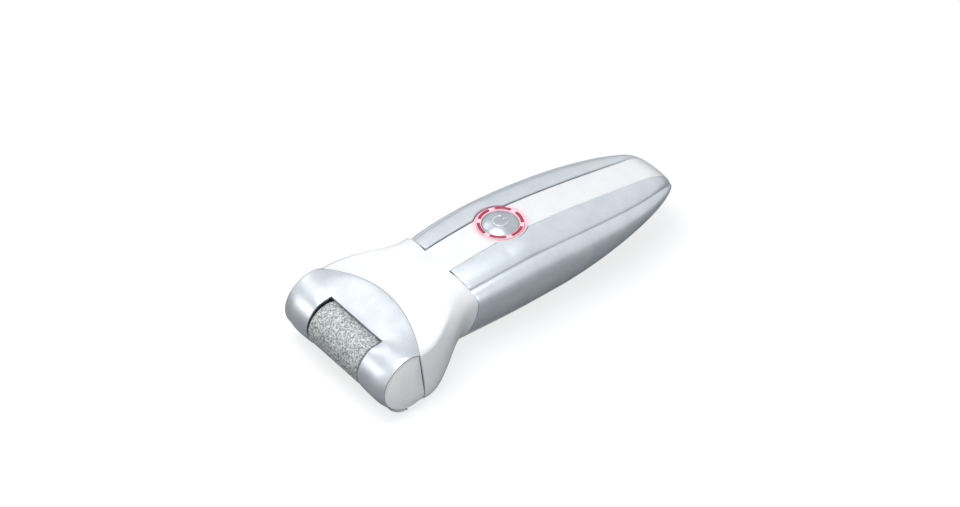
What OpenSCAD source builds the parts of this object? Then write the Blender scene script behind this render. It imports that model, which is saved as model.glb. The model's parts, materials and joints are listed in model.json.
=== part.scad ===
// Electric callus remover: a battery handle with a flared head that turns an abrasive roller.
// It lies on its back: +X runs from the head to the tail, +Z points up, Z = 0 is the rest plane.

/* [Overall] */
// Length from the front of the head to the tail tip
body_l = 174.6; // [170:0.2:184]
// Greatest width of the handle
handle_w = 51.6; // [50:0.2:56]
// Height of the top panel beside the power button
panel_h = 39.9; // [39:0.1:43]
// Distance from the front of the head to the front edge of the grips
neck_l = 54.8; // [53:0.2:60]
// Thickness of the moulded shells
wall = 2; // [1.6:0.1:2.2]
// Gap left at the seams between shells
seam = 0.15; // [0.1:0.05:0.25]
// How far the top panel lies below the edges of the grips
panel_drop = 0.7; // [0.5:0.1:0.8]

/* [Head] */
// Diameter over the abrasive roller
roller_d = 21.2; // [20:0.1:21.6]
// Length of the abrasive roller
roller_l = 33.5; // [30:0.5:34]
// Height of the roller's axis
roller_z = 16.8; // [16:0.1:17.2]
// Radial clearance round the roller in its window
roller_gap = 0.6; // [0.5:0.1:0.9]
// Side clearance between the roller and its cheeks
roller_side = 0.5; // [0.3:0.1:0.8]
// Width of each end of the head, from the roller's end to the disc
end_w = 17.55; // [17:0.05:18.5]
// Depth of the round lobes over the roller
lobe_depth = 4.6; // [4.4:0.1:5.2]
// Distance of the lobes' middles from the roller's ends
lobe_reach = 9.75; // [9:0.05:10.5]
// How far the end discs' edge lies inside the lobes
disc_inset = 2; // [1.8:0.1:2.4]
// Thickness of the head bezel
bezel_t = 1.4; // [1.2:0.1:1.6]
// Thickness of the bezel's rim round the end discs
rim_t = 0.5; // [0.4:0.05:0.6]

/* [Roller and drive] */
// Thickness of the abrasive sleeve
sleeve_t = 1.2; // [1:0.1:1.8]
// Wall of the roller core
core_t = 1.6; // [1.2:0.1:2]
// Gear module
gear_m = 0.6; // [0.6]
// Teeth of the motor pinion
pinion_n = 12; // [12]
// Teeth of the idler's large gear
idler_big_n = 36; // [36]
// Teeth of the idler's small gear
idler_small_n = 14; // [14]
// Teeth of the roller's drive gear
drive_n = 24; // [24]
// Face width of the gears
gear_w = 2.6; // [2.2:0.1:2.8]
// Thickness of the drive frame's cheeks
cheek_t = 2; // [1.6:0.1:2.4]
// Radius of the drive spindle's journal
journal_r = 3; // [2.6:0.1:3.2]
// Radius of the idler axle
axle_r = 1; // [0.8:0.1:1.2]
// Radial running clearance of shafts in their bores
run_gap = 0.05; // [0.03:0.01:0.08]
// Width of the motor can
motor_w = 20; // [18:0.5:21]
// Height of the motor can
motor_h = 15; // [14:0.5:16]
// Length of the motor can
motor_l = 25; // [22:0.5:27]

/* [Roller release] */
// Travel of the release button and of the pin that it draws back
release_travel = 1.6; // [1.4:0.1:1.7]
// Radius of the idle pin
idle_r = 2; // [1.8:0.1:2.2]
// Reach of the release lever on either side of its pivot
lever_reach = 4.7; // [4.5:0.05:4.8]

/* [Power button] */
// Place of the power button along the handle
button_x = 0.5; // [-4:0.5:2]
// Diameter of the power button
button_d = 15.6; // [15:0.2:16]
// Outer diameter of the light ring
ring_d = 20; // [19.6:0.2:20.4]
// Travel of the power button
button_travel = 0.8; // [0.5:0.1:1]
// Number of windows in the light ring
window_n = 6; // [4:1:8]

/* [Batteries] */
// Diameter of a cell
cell_d = 14.2; // [13.8:0.1:14.4]
// Length of a cell over its button
cell_l = 50.5; // [49.5:0.1:50.5]
// Front end of the cells
cell_x = 3; // [2:0.5:4]
// Height of the cells' axes
cell_z = 18; // [17.5:0.1:18.6]

/* [Hidden] */

// Colours
WHITE = [0.96, 0.97, 0.98];
SILVER = [0.70, 0.74, 0.79];
LIGHT_SILVER = [0.84, 0.87, 0.90];
GRIT = [0.62, 0.64, 0.64];
DARK = [0.22, 0.23, 0.25];
STEEL = [0.75, 0.76, 0.78];

// Places along the body
front_x = -body_l / 2;
tip_x = body_l / 2;
grip_x = front_x + neck_l;
wide_x = grip_x + 35.3;
tail_x = tip_x - 15;
roller_x = front_x + roller_d / 2 + 0.15;
lobe_r = roller_d / 2 + lobe_depth;
lobe_y = roller_l / 2 + lobe_reach;
disc_r = lobe_r - disc_inset;
lobe_x = roller_x + 4.1;
lobe_z = roller_z - 1.8;
disc_x = lobe_x + 0.85;
disc_z = lobe_z + 0.6;
head_y = roller_l / 2 + end_w;
rim_y = head_y - 0.9;
v_gap = seam / 30;
bow_d = 2.8;

// Shape of the shells
tip_z = 16.5;
tail_n = 2.5;
base_x = 18.5;
neck_base_hw = head_y - 6.3;
split_v = 3.5;
split_neck_v = 3.76;
part_x = lobe_x + 14.1;
part_z = lobe_z + 18.8;
window_f = 6;
lip_f = 148;
foot_f = 172;
window_hw = roller_l / 2 + roller_side - 0.05;
bridge_r = lobe_r - 1.4;

// Places of the mechanism
cheek_y0 = roller_l / 2 + roller_side;
cheek_y1 = cheek_y0 + cheek_t;
cheek_r = roller_d / 2 - 1.75;
trough_r = roller_d / 2 + 0.8;
gear_y = cheek_y1 + 0.75;
big_y = gear_y + gear_w + 0.6;
plate_y = big_y + gear_w + 0.6;
plate_t = 1.2;
core_r = roller_d / 2 - sleeve_t - 0.05;
idler_turn = -7;
motor_turn = 10;
idler_reach = gear_m * (drive_n + idler_small_n) / 2;
motor_reach = gear_m * (idler_big_n + pinion_n) / 2;
idler_x = roller_x + idler_reach * cos(idler_turn);
idler_z = roller_z + idler_reach * sin(idler_turn);
motor_x = idler_x + motor_reach * cos(motor_turn);
motor_z = idler_z + motor_reach * sin(motor_turn);
motor_y1 = cheek_y0 - 0.05;
shaft_r = 0.75;
post_at = [[roller_x + 2.45, roller_z + 8.9], [roller_x + 0.55, roller_z - roller_d / 2 + 0.8]];
floor_z = 8.2;
floor_x0 = roller_x + 8.5;
floor_x1 = motor_x + motor_w / 2;
screw_r = 0.9;
screw_head_r = 1.9;
drive_screw_x = motor_x - 4;

// Places of the release
leaf_y = head_y - 2.4;
leaf_t = 2.7;
leaf_rise = 0.9;
leaf_dome_r = (disc_r * disc_r + leaf_rise * leaf_rise) / (2 * leaf_rise);
bracket_y = plate_y + 1.3;
lever_y = cheek_y1 + 2.75;
collar_y = lever_y + 1.1;
pivot_x = roller_x + lever_reach;
rod_x = pivot_x + lever_reach;
cap_pins = [[roller_x - 2, roller_z + 3], [roller_x + 7.5, roller_z - 6.5]];
guide_pins = [[roller_x - 2, roller_z + 5], [roller_x - 2, roller_z - 7.8]];

// Places of the button and the board
ring_z = panel_h + 0.1;
button_rise = 1.3;
button_dome_r = (button_d * button_d / 4 + button_rise * button_rise) / (2 * button_rise);
window_r0 = button_d / 2 + 0.6;
window_r1 = ring_d / 2 - 0.25;
window_angle = 43;
window_turn = 45;
led_r = (window_r0 + window_r1) / 2;
board_z = ring_z - 6.95;
plunger_z = board_z + 2.85 + button_travel;
stake_at = [for (x = [button_x - 16.5, button_x + 2.5], y = [-6, 6]) [x, y]];

// Places of the batteries
cell_y = cell_d / 2 + 0.2;
frame_x0 = cell_x - 3;
frame_x1 = cell_x + cell_l + 3;
contact_gap = 1.75;
deck_z = board_z - 3.4;
deck_x0 = button_x - 24;
frame_screw_x = deck_x0 + 3;
screw_at = concat([for (y = [-8, 8]) [drive_screw_x, y]], [for (y = [-4.6, 4.6]) [frame_screw_x, y]]);
cover_v = 3.56;

// Stations along the body; the cover lies between two of them
cover_x0 = button_x;
cover_x1 = frame_x1 + 1;
body_xs = concat(steps(grip_x, button_x - 14, 4), steps(button_x - 12, button_x + 12, 12),
  steps(button_x + 16, cover_x1, 7), [for (u = [1, 2, 3]) mix(cover_x1, tail_x, u / 3)],
  [for (a = [14, 28, 42, 54, 64, 73, 80, 86]) tail_x + (tip_x - tail_x) * sin(a)]);
cover_i0 = 11;
cover_i1 = 25;
toe_l = 9.8;
toe_taper = 0.03;
side_x0 = part_pt(rim_y)[0];
side_z0 = part_pt(rim_y)[2];
side_slope = 0.115;

// ---------- small helpers ----------
function mix(a, b, t) = a + (b - a) * t;
function unit(t) = max(0, min(1, t));
function smooth(t) = let (c = unit(t)) c * c * (3 - 2 * c);
// A quarter of a superellipse that leaves p level and reaches q upright
function over(p, q, t, n) = [
  mix(p[0], q[0], pow(sin(90 * t), 2 / n)),
  mix(q[1], p[1], pow(cos(90 * t), 2 / n))
];
// A quarter of a superellipse that leaves p upright and reaches q level
function under(p, q, t, n) = [
  mix(q[0], p[0], pow(cos(90 * t), 2 / n)),
  mix(p[1], q[1], pow(sin(90 * t), 2 / n))
];
function steps(a, b, n) = [for (i = [0:n]) mix(a, b, i / n)];

// ---------- handle surface ----------
// The section runs from the top centre, v = 0, past the panel's edge, 1, the grip's crease, 2,
// and the widest point, 3, to the edge of the flat base, 4, and the bottom centre, 5.
function half_w(x) = x > wide_x
  ? handle_w / 2 * pow(1 - pow(unit((x - wide_x) / (tip_x - wide_x)), tail_n), 1 / tail_n)
  : handle_w / 2 - 1.8 * pow((x - wide_x) / (grip_x - wide_x), 2);
function taper(x) = x < tail_x ? 1 : sqrt(max(0, 1 - pow((x - tail_x) / (tip_x - tail_x), 2)));
function to_tip(z, x) = mix(tip_z, z, taper(x));
function panel_z(x) =
  to_tip(panel_h - (x > 0 ? 8.1 * pow(x / 65.3, 1.43) : 2.2 * pow(x / grip_x, 2)), x);
function base_z(x) = to_tip(x < base_x ? 0 : tip_z * pow((x - base_x) / (tip_x - base_x), 1.8), x);
function wide_z(x) = to_tip(27 - max(0, x) / 30, x);
// Half the width of the flat base
function base_hw(x) = 8 - 2 * unit(x / 60);
function strip_hw(x) = min(0.55 * half_w(x), 8.3 - max(0, x) / 80);
function panel_hw(x) =
  max(strip_hw(x), sqrt(max(0, pow(ring_d / 2 + 1.3, 2) - pow(x - button_x, 2))));
function crease(x) = [
  mix(strip_hw(x), half_w(x), 0.69),
  panel_z(x) - 5 * taper(x) * (1 - 0.35 * max(0, x) / tip_x)
];
function handle_yz(x, v) =
  let (e = [panel_hw(x), panel_z(x)], c = crease(x), w = [half_w(x), wide_z(x)])
  let (b = [min(base_hw(x), 0.4 * w[0]), base_z(x)], crown = 0.7 * taper(x))
  v <= 1 ? [e[0] * v, e[1] + crown * (1 - v * v)]
  : v <= 2 ? over(e, c, v - 1, 2)
  : v <= 3 ? over(c, w, v - 2, 1.9)
  : v <= 4 ? under(w, b, v - 3, 1.6 - 0.1 * unit(x / 60))
  : [b[0] * (5 - v), b[1]];
// The grips' front edge bows back at the middle of its height
function bow(z) = let (top = panel_z(grip_x), wide = wide_z(grip_x))
  let (u = z > wide ? (top - z) / (top - wide) * 0.6 : 1 - 0.4 * z / wide)
  bow_d * pow(sin(180 * unit(u)), 1.3);
function handle_pt(x, v) = let (p = handle_yz(x, v))
  [x + bow(p[1]) * unit(1 - (x - grip_x) / 14), p[0], p[1]];
// The same point on the inside of a shell of thickness t
function handle_in(x, v, t) =
  let (p = handle_pt(x, v), w = half_w(x), top = panel_z(x) + 0.7 * taper(x))
  let (mid = (top + base_z(x)) / 2, half = (top - base_z(x)) / 2)
  [
    x < tail_x ? p[0] : tail_x + (p[0] - tail_x) * (1 - t / (tip_x - tail_x)),
    p[1] * max(0.5, 1 - t / w),
    mid + (p[2] - mid) * max(0.5, 1 - t / half)
  ];

// ---------- neck surface, from the bezel's edge to the grips ----------
function part_pt(y) = let (u = abs(y) / rim_y) [part_x - 8.75 * u * u, y, part_z - 5.2 * u * u];
function side_x(z) = side_x0 + side_slope * (side_z0 - z);
function neck_start(v) =
  let (c = part_pt(rim_y)[2], w = [head_y, lobe_z + 2])
  let (s = v <= 3 ? [mix(rim_y, w[0], sin(90 * (v - 2))), mix(c, w[1], v - 2)]
    : v <= 4 ? under(w, [neck_base_hw, 0], v - 3, 2.6)
    : [neck_base_hw * (5 - v), 0])
  v <= 1 ? part_pt(8 * v)
  : v <= 2 ? part_pt(mix(8, rim_y, v - 1))
  : [side_x(s[1]), s[0], s[1]];
function neck_end(v) =
  let (e = [panel_hw(grip_x), panel_z(grip_x)], w = [half_w(grip_x), wide_z(grip_x)])
  let (p = v > 1 && v < 3 ? over(e, w, (v - 1) / 2, 2.4) : handle_yz(grip_x, v))
  [grip_x + bow(p[1]), p[0], p[1]];
function neck_pt(s, v) =
  let (a = neck_start(v), b = neck_end(v), ey = s >= 1 ? 1 : smooth(pow(s / 0.93, 1.25)))
  let (p = [mix(a[0], b[0], s), mix(a[1], b[1], ey), mix(a[2], b[2], mix(s, smooth(s), unit(v / 2)))])
  sunk(p, v, smooth((s - 0.7) / 0.3));
// The top panel lies lower than the grips' edges and stands clear of them
function sunk(p, v, share) = let (k = share * (1 - smooth((v - 1) / 0.3)))
  [p[0], p[1] * (1 - panel_drop / 18 * k), p[2] - panel_drop * k];
function neck_in(s, v, t) =
  let (p = neck_pt(s, v), w = neck_pt(s, 3)[1], mid = neck_pt(s, 0)[2] / 2)
  [p[0], p[1] * (1 - t / w), mid + (p[2] - mid) * (1 - t / mid)];

// ---------- bezel surface ----------
// Polar round a cross axis: f is 0 upwards and grows towards the front, in degrees.
function centre(y) = let (k = smooth((abs(y) - lobe_y) / (rim_y - lobe_y)))
  [mix(lobe_x, disc_x, k), mix(lobe_z, disc_z, k)];
function peak(f) = lobe_r - 1.6 * smooth((f - 70) / 50);
// Radius at which the window's edge clears the roller
function edge_r(f) =
  let (c = [roller_x - lobe_x, roller_z - lobe_z], r = roller_d / 2 + roller_gap + 0.1)
  let (d = -sin(f) * c[0] + cos(f) * c[1])
  d + sqrt(d * d - c * c + r * r);
// Radius of the lobes' flanks beside the window
function flank_r(f) =
  let (clear = mix(min(edge_r(f), peak(f) - 0.3), peak(f) - 0.2, smooth((f - 128) / 20)))
  mix(bridge_r, clear, smooth((f - window_f) / 14));
function lobe_radius(y, f) =
  let (a = abs(y), rise = unit((a - window_hw) / (lobe_y - window_hw)))
  let (fall = unit((a - lobe_y) / (rim_y - lobe_y)))
  a < window_hw ? (f > 90 ? peak(f) - 0.2 : bridge_r)
  : a < lobe_y ? mix(flank_r(f), peak(f), pow(sin(90 * rise), 0.8))
  : mix(peak(f), disc_r + 0.8, 1 - sqrt(1 - pow(0.97 * fall, 2)));
function part_polar(y) = let (p = part_pt(y), c = centre(y))
  [norm([p[0] - c[0], p[2] - c[1]]), -atan2(p[0] - c[0], p[2] - c[1])];
function bezel_at(y, f, t) =
  let (c = centre(y), q = part_polar(y), k = unit((window_f - f) / (window_f - q[1])))
  let (r = mix(lobe_radius(y, f), q[0], k * k) - t)
  [c[0] - r * sin(f), y, c[1] + r * cos(f)];

// ---------- shells from grids of points ----------
// outer and inner are equal grids; cell (i, j) is solid where keep(i, j) is true.
module shell(outer, inner, keep) {
  rows = len(outer);
  cols = len(outer[0]);
  function id(i, j, k) = (k * rows + i) * cols + j;
  function on(i, j) = i >= 0 && j >= 0 && i < rows - 1 && j < cols - 1 && keep(i, j);
  cells = [for (i = [0:rows - 2], j = [0:cols - 2]) if (on(i, j)) [i, j]];
  skin = [for (c = cells, k = [0, 1])
    let (i = c[0], j = c[1])
    let (q = [id(i, j, k), id(i, j + 1, k), id(i + 1, j + 1, k), id(i + 1, j, k)])
    k == 0 ? q : [q[3], q[2], q[1], q[0]]];
  // A side wall stands where a cell has no neighbour. Its diagonal runs from the outer point of
  // lower index, so that the two walls of a seam stay parallel.
  sides = [for (c = cells)
    let (i = c[0], j = c[1])
    for (e = [
      [i - 1, j, i, j, i, j + 1],
      [i, j + 1, i, j + 1, i + 1, j + 1],
      [i + 1, j, i + 1, j + 1, i + 1, j],
      [i, j - 1, i + 1, j, i, j]
    ])
      if (!on(e[0], e[1]))
        let (a = [id(e[2], e[3], 0), id(e[2], e[3], 1)], b = [id(e[4], e[5], 0), id(e[4], e[5], 1)])
        a[0] < b[0] ? [a[0], a[1], b[1], b[0]] : [b[0], a[0], a[1], b[1]]];
  points = concat([for (r = outer, p = r) p], [for (r = inner, p = r) p]);
  faces = concat(skin, sides);
  polyhedron(points = points, faces = [for (f = faces) each [[f[0], f[1], f[2]], [f[0], f[2], f[3]]]]);
}
// A column is [side, v]: side is -1 towards -Y and 1 towards +Y.
function sided(p, side) = [p[0], side * p[1], p[2]];
function both(vs) = concat([for (i = [len(vs) - 1:-1:0]) [-1, vs[i]]],
  [for (v = vs) if (v > 0) [1, v]]);

neck_ss = [for (i = [0:12]) i == 0 ? seam / 60 : i / 12];
// Below the widest point the neck's columns move down to its lower split line
function neck_v(s, v) = let (low = mix(split_neck_v, split_v, s))
  v <= 3 || v >= 4 ? v
  : v <= split_v ? mix(3, low, (v - 3) / (split_v - 3))
  : mix(low, 4, (v - split_v) / (4 - split_v));

grip_vs = [1, 1.14, 1.3, 1.5, 1.7, 1.86, 2, 2.12, 2.3, 2.5, 2.7, 2.88, 3, 3.18, 3.34, split_v];

function handle_grid(xs, cols, t) =
  [for (x = xs) [for (c = cols) sided(t > 0 ? handle_in(x, c[1], t) : handle_pt(x, c[1]), c[0])]];
function neck_grid(cols, t) = [for (s = neck_ss) [for (c = cols)
  let (v = neck_v(s, c[1])) sided(t > 0 ? neck_in(s, v, t) : neck_pt(s, v), c[0])]];

// White shell: the flared neck and the long top panel in one piece
module upper_housing() color(WHITE) {
  vs = concat([0, 0.35, 0.7, 1, 1.22, 1.42, 1.62, 1.82], [2, 2.2, 2.45, 2.75, 3, 3.2, split_v - v_gap]);
  cols = both(vs);
  n = len(cols);
  neck_n = len(neck_ss) - 1;
  edge = len(vs) - 4;
  xs = [for (i = [1:len(body_xs) - 1]) body_xs[i]];
  panel = [for (c = cols) [c[0], min(1, c[1])]];
  rows = function(t) let (grid = handle_grid(xs, panel, t))
    [for (i = [0:len(xs) - 1]) [for (p = grid[i]) sunk(p, 0, smooth((tip_x - 6 - xs[i]) / 12))]];
  difference() {
    shell(concat(neck_grid(cols, 0), rows(0)), concat(neck_grid(cols, wall), rows(wall)),
      function(i, j) i < neck_n || (j >= edge && j < n - edge - 1));
    translate([button_x, 0, panel_h - 6]) cylinder(r = ring_d / 2 + seam, h = 12, $fn = 72);
  }
}

// Silver side grip with its long crease
module grip(side) color(SILVER) {
  xs = concat([grip_x + seam], [for (i = [1:len(body_xs) - 1]) body_xs[i]]);
  vs = concat([1 + seam / 18], [for (i = [1:len(grip_vs) - 2]) grip_vs[i]], [split_v - v_gap]);
  cols = side > 0 ? [for (v = vs) [1, v]] : [for (i = [len(vs) - 1:-1:0]) [-1, vs[i]]];
  shell(handle_grid(xs, cols, 0), handle_grid(xs, cols, wall), function(i, j) true);
}
module left_grip() grip(1);
module right_grip() grip(-1);

// Bottom shell with the battery opening and the screw holes
// The toe narrows forwards, so that the pressed release button clears it
function toe(p, e) = [p[0] - toe_l * e, p[1] * (1 - toe_taper * e), p[2] + 1.5 * e * e];
function low_cols(vs) = let (k = len(vs) - 1)
  concat([for (i = [0:k]) [1, vs[i]]], [for (i = [k - 1:-1:0]) [-1, vs[i]]]);
module lower_housing() color(WHITE) {
  vs = [split_v + v_gap, cover_v, 3.7, 3.85, 4, 5];
  cols = low_cols(vs);
  n = len(cols);
  xs = [for (i = [1:len(body_xs) - 1]) body_xs[i]];
  rows_before = 2 + len(neck_ss) - 1;
  first = rows_before + cover_i0;
  last = rows_before + cover_i1;
  start = [for (c = cols) sided(neck_pt(neck_ss[0], neck_v(0, c[1])), c[0])];
  start_in = [for (c = cols) sided(neck_in(neck_ss[0], neck_v(0, c[1]), wall), c[0])];
  difference() {
    shell(
      concat([for (e = [1, 0.5]) [for (p = start) toe(p, e)]], neck_grid(cols, 0),
        handle_grid(xs, cols, 0)),
      concat([for (e = [1, 0.5]) [for (p = start_in) toe(p, e)]], neck_grid(cols, wall),
        handle_grid(xs, cols, wall)),
      function(i, j) i < first || i >= last || j < 1 || j > n - 3);
    for (p = screw_at) translate([p[0], p[1], -1]) cylinder(r = screw_r + 0.3, h = 5, $fn = 32);
    for (p = screw_at) translate([p[0], p[1], -1]) cylinder(r = screw_head_r + 0.2, h = 1.9, $fn = 32);
  }
}

// Cover over the batteries: it swings down about its front edge
module battery_cover() color(WHITE) {
  xs = concat([cover_x0 + seam], [for (i = [cover_i0 + 1:cover_i1 - 1]) body_xs[i]], [cover_x1 - seam]);
  cols = low_cols([cover_v + v_gap * 1.6, 3.7, 3.85, 4, 5]);
  shell(handle_grid(xs, cols, 0), handle_grid(xs, cols, wall - 0.2), function(i, j) true);
  for (y = [-5.5, 5.5]) {
    translate([cover_x0 - 2.4, y - 1.5, wall + 0.25]) cube([4.4, 3, 1]);
    translate([cover_x0 + 1, y - 1.5, wall - 0.6]) cube([1, 3, 1.5]);
  }
}

// Silver bezel: a lobe either side of the roller's window
module head_bezel() color(SILVER) {
  half_ys = concat(steps(0, window_hw, 3), [for (u = [0.11, 0.25, 0.47, 0.73, 1]) mix(window_hw, lobe_y, u)],
    [for (u = [0.36, 0.65, 0.85, 0.96, 1]) mix(lobe_y, rim_y, u)]);
  k = len(half_ys) - 1;
  ys = concat([for (i = [k:-1:0]) -half_ys[i]], [for (i = [1:k]) half_ys[i]]);
  fs = steps(window_f, lip_f, 15);
  foot = steps(lip_f, foot_f, 3);
  row = function(y, t) let (f0 = part_polar(y)[1]) concat(
    [for (u = steps(0, 0.8, 4)) bezel_at(y, mix(f0, window_f, u), t)],
    [for (f = fs) bezel_at(y, f, t)], [for (i = [1:3]) bezel_at(y, foot[i], t)]);
  thick = function(y) bezel_t - (bezel_t - rim_t) * smooth((abs(y) - lobe_y - 1) / 3);
  shell([for (y = ys) row(y, 0)], [for (y = ys) row(y, thick(y))],
    function(i, j) j < 5 || j > 19 || i < k - 3 || i > k + 2);
}

// ---------- head ends ----------
// Extrudes a shape drawn in x and z from y0 to y1
module across(y0, y1) translate([0, y1, 0]) rotate([90, 0, 0]) linear_extrude(y1 - y0) children();
// Extrudes a shape drawn in y and z from x0 to x1
module along(x0, x1) translate([x0, 0, 0]) rotate([90, 0, 90]) linear_extrude(x1 - x0) children();
module rod_y(x, z, r, y0, y1, n = 48)
  translate([x, y1, z]) rotate([90, 0, 0]) cylinder(r = r, h = y1 - y0, $fn = n);
module rod_z(x, y, r, z0, z1, n = 36)
  translate([x, y, z0]) cylinder(r = r, h = z1 - z0, $fn = n);

// Domed disc, cut by the neck's edge; it faces +Y
module leaf() difference() {
  intersection() {
    rod_y(disc_x, disc_z, disc_r, leaf_y, leaf_y + 4, 96);
    translate([disc_x, leaf_y + leaf_t - leaf_dome_r, disc_z]) sphere(r = leaf_dome_r, $fn = 360);
  }
  translate([side_x0 - seam, 0, side_z0]) rotate([0, -atan(side_slope), 0])
    translate([0, 0, -40]) cube([30, 60, 80]);
}
module drive_side_cap() color(LIGHT_SILVER) {
  leaf();
  for (p = cap_pins) rod_y(p[0], p[1], 1.3, plate_y + 0.1, leaf_y + 0.5);
}
module release_button() color(LIGHT_SILVER) mirror([0, 1, 0]) {
  leaf();
  rod_y(rod_x, roller_z, 1, lever_y + 1.1, leaf_y + 0.5);
  for (p = guide_pins) rod_y(p[0], p[1], 1, plate_y + 1.1, leaf_y + 0.5);
}

// ---------- roller ----------
module abrasive_sleeve() color(GRIT) difference() {
  rod_y(roller_x, roller_z, roller_d / 2, -roller_l / 2, roller_l / 2, 96);
  rod_y(roller_x, roller_z, roller_d / 2 - sleeve_t, -roller_l, roller_l, 96);
}
module roller_core() color(DARK) difference() {
  rod_y(roller_x, roller_z, core_r, 0.05 - roller_l / 2, roller_l / 2 - 0.05, 96);
  rod_y(roller_x, roller_z, core_r - core_t, -roller_l, roller_l / 2 - 3, 96);
  rod_y(roller_x, roller_z, 3, 0, roller_l, 6);
}
module roller_end_cap() color(DARK) difference() {
  rod_y(roller_x, roller_z, core_r - core_t - 0.03, 0.05 - roller_l / 2, 2 - roller_l / 2, 72);
  rod_y(roller_x, roller_z, idle_r + run_gap, -roller_l, 0);
}

// ---------- gears ----------
function inv(a) = tan(a) * 180 / PI - a;
// Half the angle that a tooth spans at radius q
function tooth_half(n, q) =
  let (r = gear_m * n / 2, rb = r * cos(20), a = acos(min(1, rb / max(q, rb))))
  90 / n - 180 / PI * 0.09 / r + inv(20) - inv(a);
module gear_shape(n, tooth_at) {
  r = gear_m * n / 2;
  radii = [r - 1.15 * gear_m, r - 0.5 * gear_m, r, r + 0.4 * gear_m, r + 0.75 * gear_m];
  rotate(tooth_at) polygon([for (k = [0:n - 1]) each concat(
    [for (q = radii) let (a = k * 360 / n - tooth_half(n, q)) [q * cos(a), q * sin(a)]],
    [for (i = [4:-1:0]) let (q = radii[i], a = k * 360 / n + tooth_half(n, q)) [q * cos(a), q * sin(a)]])]);
}
module drive_gear() color(WHITE) {
  across(gear_y, gear_y + gear_w) translate([roller_x, roller_z]) gear_shape(drive_n, idler_turn);
  rod_y(roller_x, roller_z, journal_r, roller_l / 2 + 0.3, gear_y);
  rod_y(roller_x, roller_z, 2.9, roller_l / 2 - 2.6, roller_l / 2 + 0.3, 6);
}
module idler_gear() color(WHITE) difference() {
  union() {
    across(gear_y, gear_y + gear_w) translate([idler_x, idler_z])
      gear_shape(idler_small_n, idler_turn + 180 + 180 / idler_small_n);
    across(big_y, big_y + gear_w) translate([idler_x, idler_z]) gear_shape(idler_big_n, motor_turn);
    rod_y(idler_x, idler_z, 2.5, cheek_y1 + 0.1, plate_y - 0.1);
  }
  rod_y(idler_x, idler_z, axle_r + run_gap, 0, 40);
  for (a = [0:60:300]) rod_y(idler_x + 6.9 * cos(a), idler_z + 6.9 * sin(a), 1.7, big_y - 0.2, plate_y);
}
module idler_axle() color(STEEL) rod_y(idler_x, idler_z, axle_r, cheek_y0 + 0.1, plate_y + plate_t - 0.1);
module drive_bush() color(STEEL) difference() {
  rod_y(roller_x, roller_z, journal_r + 1, cheek_y0 - 0.2, cheek_y1 + 0.4);
  rod_y(roller_x, roller_z, journal_r + run_gap, 0, 40);
}
module motor_pinion() color(STEEL) {
  across(big_y, big_y + gear_w) translate([motor_x, motor_z])
    gear_shape(pinion_n, motor_turn + 180 + 180 / pinion_n);
  rod_y(motor_x, motor_z, shaft_r, motor_y1 - 7, big_y);
}
module motor() color(STEEL) difference() {
  union() {
    across(motor_y1 - motor_l, motor_y1) translate([motor_x, motor_z]) intersection() {
      circle(d = motor_w, $fn = 72);
      square([motor_w + 1, motor_h], center = true);
    }
    rod_y(motor_x, motor_z, 3, motor_y1, motor_y1 + 1.6);
    for (dx = [-5, 5]) translate([motor_x + dx - 1, motor_y1 - motor_l - 2, motor_z + 2]) cube([2, 2.5, 0.5]);
  }
  rod_y(motor_x, motor_z, shaft_r + run_gap, motor_y1 - 8, 40);
}

// ---------- frames in the head ----------
module sector(r0, r1, a0, a1) intersection() {
  difference() {
    circle(r = r1, $fn = 96);
    circle(r = r0, $fn = 96);
  }
  polygon(concat([[0, 0]], [for (a = steps(a0, a1, 6)) 2 * r1 * [cos(a), sin(a)]]));
}
module cheek_shape() {
  translate([roller_x, roller_z]) circle(r = cheek_r, $fn = 96);
  translate([roller_x, roller_z]) sector(cheek_r - 1, trough_r + 1.2, -70, 50);
  for (p = post_at) translate(p) circle(r = 1.2, $fn = 32);
}
module floor_shape() difference() {
  translate([floor_x0, floor_z]) square([floor_x1 - floor_x0, motor_z - motor_h / 2 - 0.05 - floor_z]);
  translate([roller_x, roller_z]) circle(r = trough_r, $fn = 96);
}
module drive_frame() color(DARK) difference() {
  union() {
    across(-cheek_y0, cheek_y0) translate([roller_x, roller_z]) sector(trough_r, trough_r + 1.2, -70, 50);
    across(-cheek_y0, cheek_y0) floor_shape();
    across(cheek_y0, cheek_y1) {
      cheek_shape();
      translate([idler_x - 6, floor_z]) square([motor_x + 6 - idler_x + 6, motor_z + 6 - floor_z]);
    }
    across(-cheek_y1, -cheek_y0) cheek_shape();
    translate([floor_x1 - motor_w, motor_y1 - motor_l - 1.4, floor_z]) cube([motor_w, 1.3, 6]);
    for (p = post_at) rod_y(p[0], p[1], 1.2, cheek_y1, plate_y - 0.03);
    for (p = post_at) rod_y(p[0], p[1], 1.2, 0.03 - plate_y - 1.3, -cheek_y1);
    for (y = [-8, 8]) rod_z(drive_screw_x, y, 2.6, wall + 0.05, floor_z + 1);
  }
  rod_y(roller_x, roller_z, journal_r + 1.02, 0, 40);
  rod_y(roller_x, roller_z, idle_r + run_gap, -40, 0);
  rod_y(idler_x, idler_z, axle_r + 0.02, 0, 40);
  rod_y(motor_x, motor_z, 3.05, 0, 40);
  for (y = [-8, 8]) rod_z(drive_screw_x, y, screw_r, 0, floor_z - 0.8);
}
module gear_plate() color(STEEL) across(plate_y, plate_y + plate_t) difference() {
  union() {
    translate([lobe_x, lobe_z]) circle(r = 10.5, $fn = 96);
    translate(post_at[0]) circle(r = 1.9, $fn = 32);
  }
  translate([idler_x, idler_z]) circle(r = axle_r + 0.02, $fn = 32);
  for (p = cap_pins) translate(p) circle(r = 1.32, $fn = 32);
}
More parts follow.
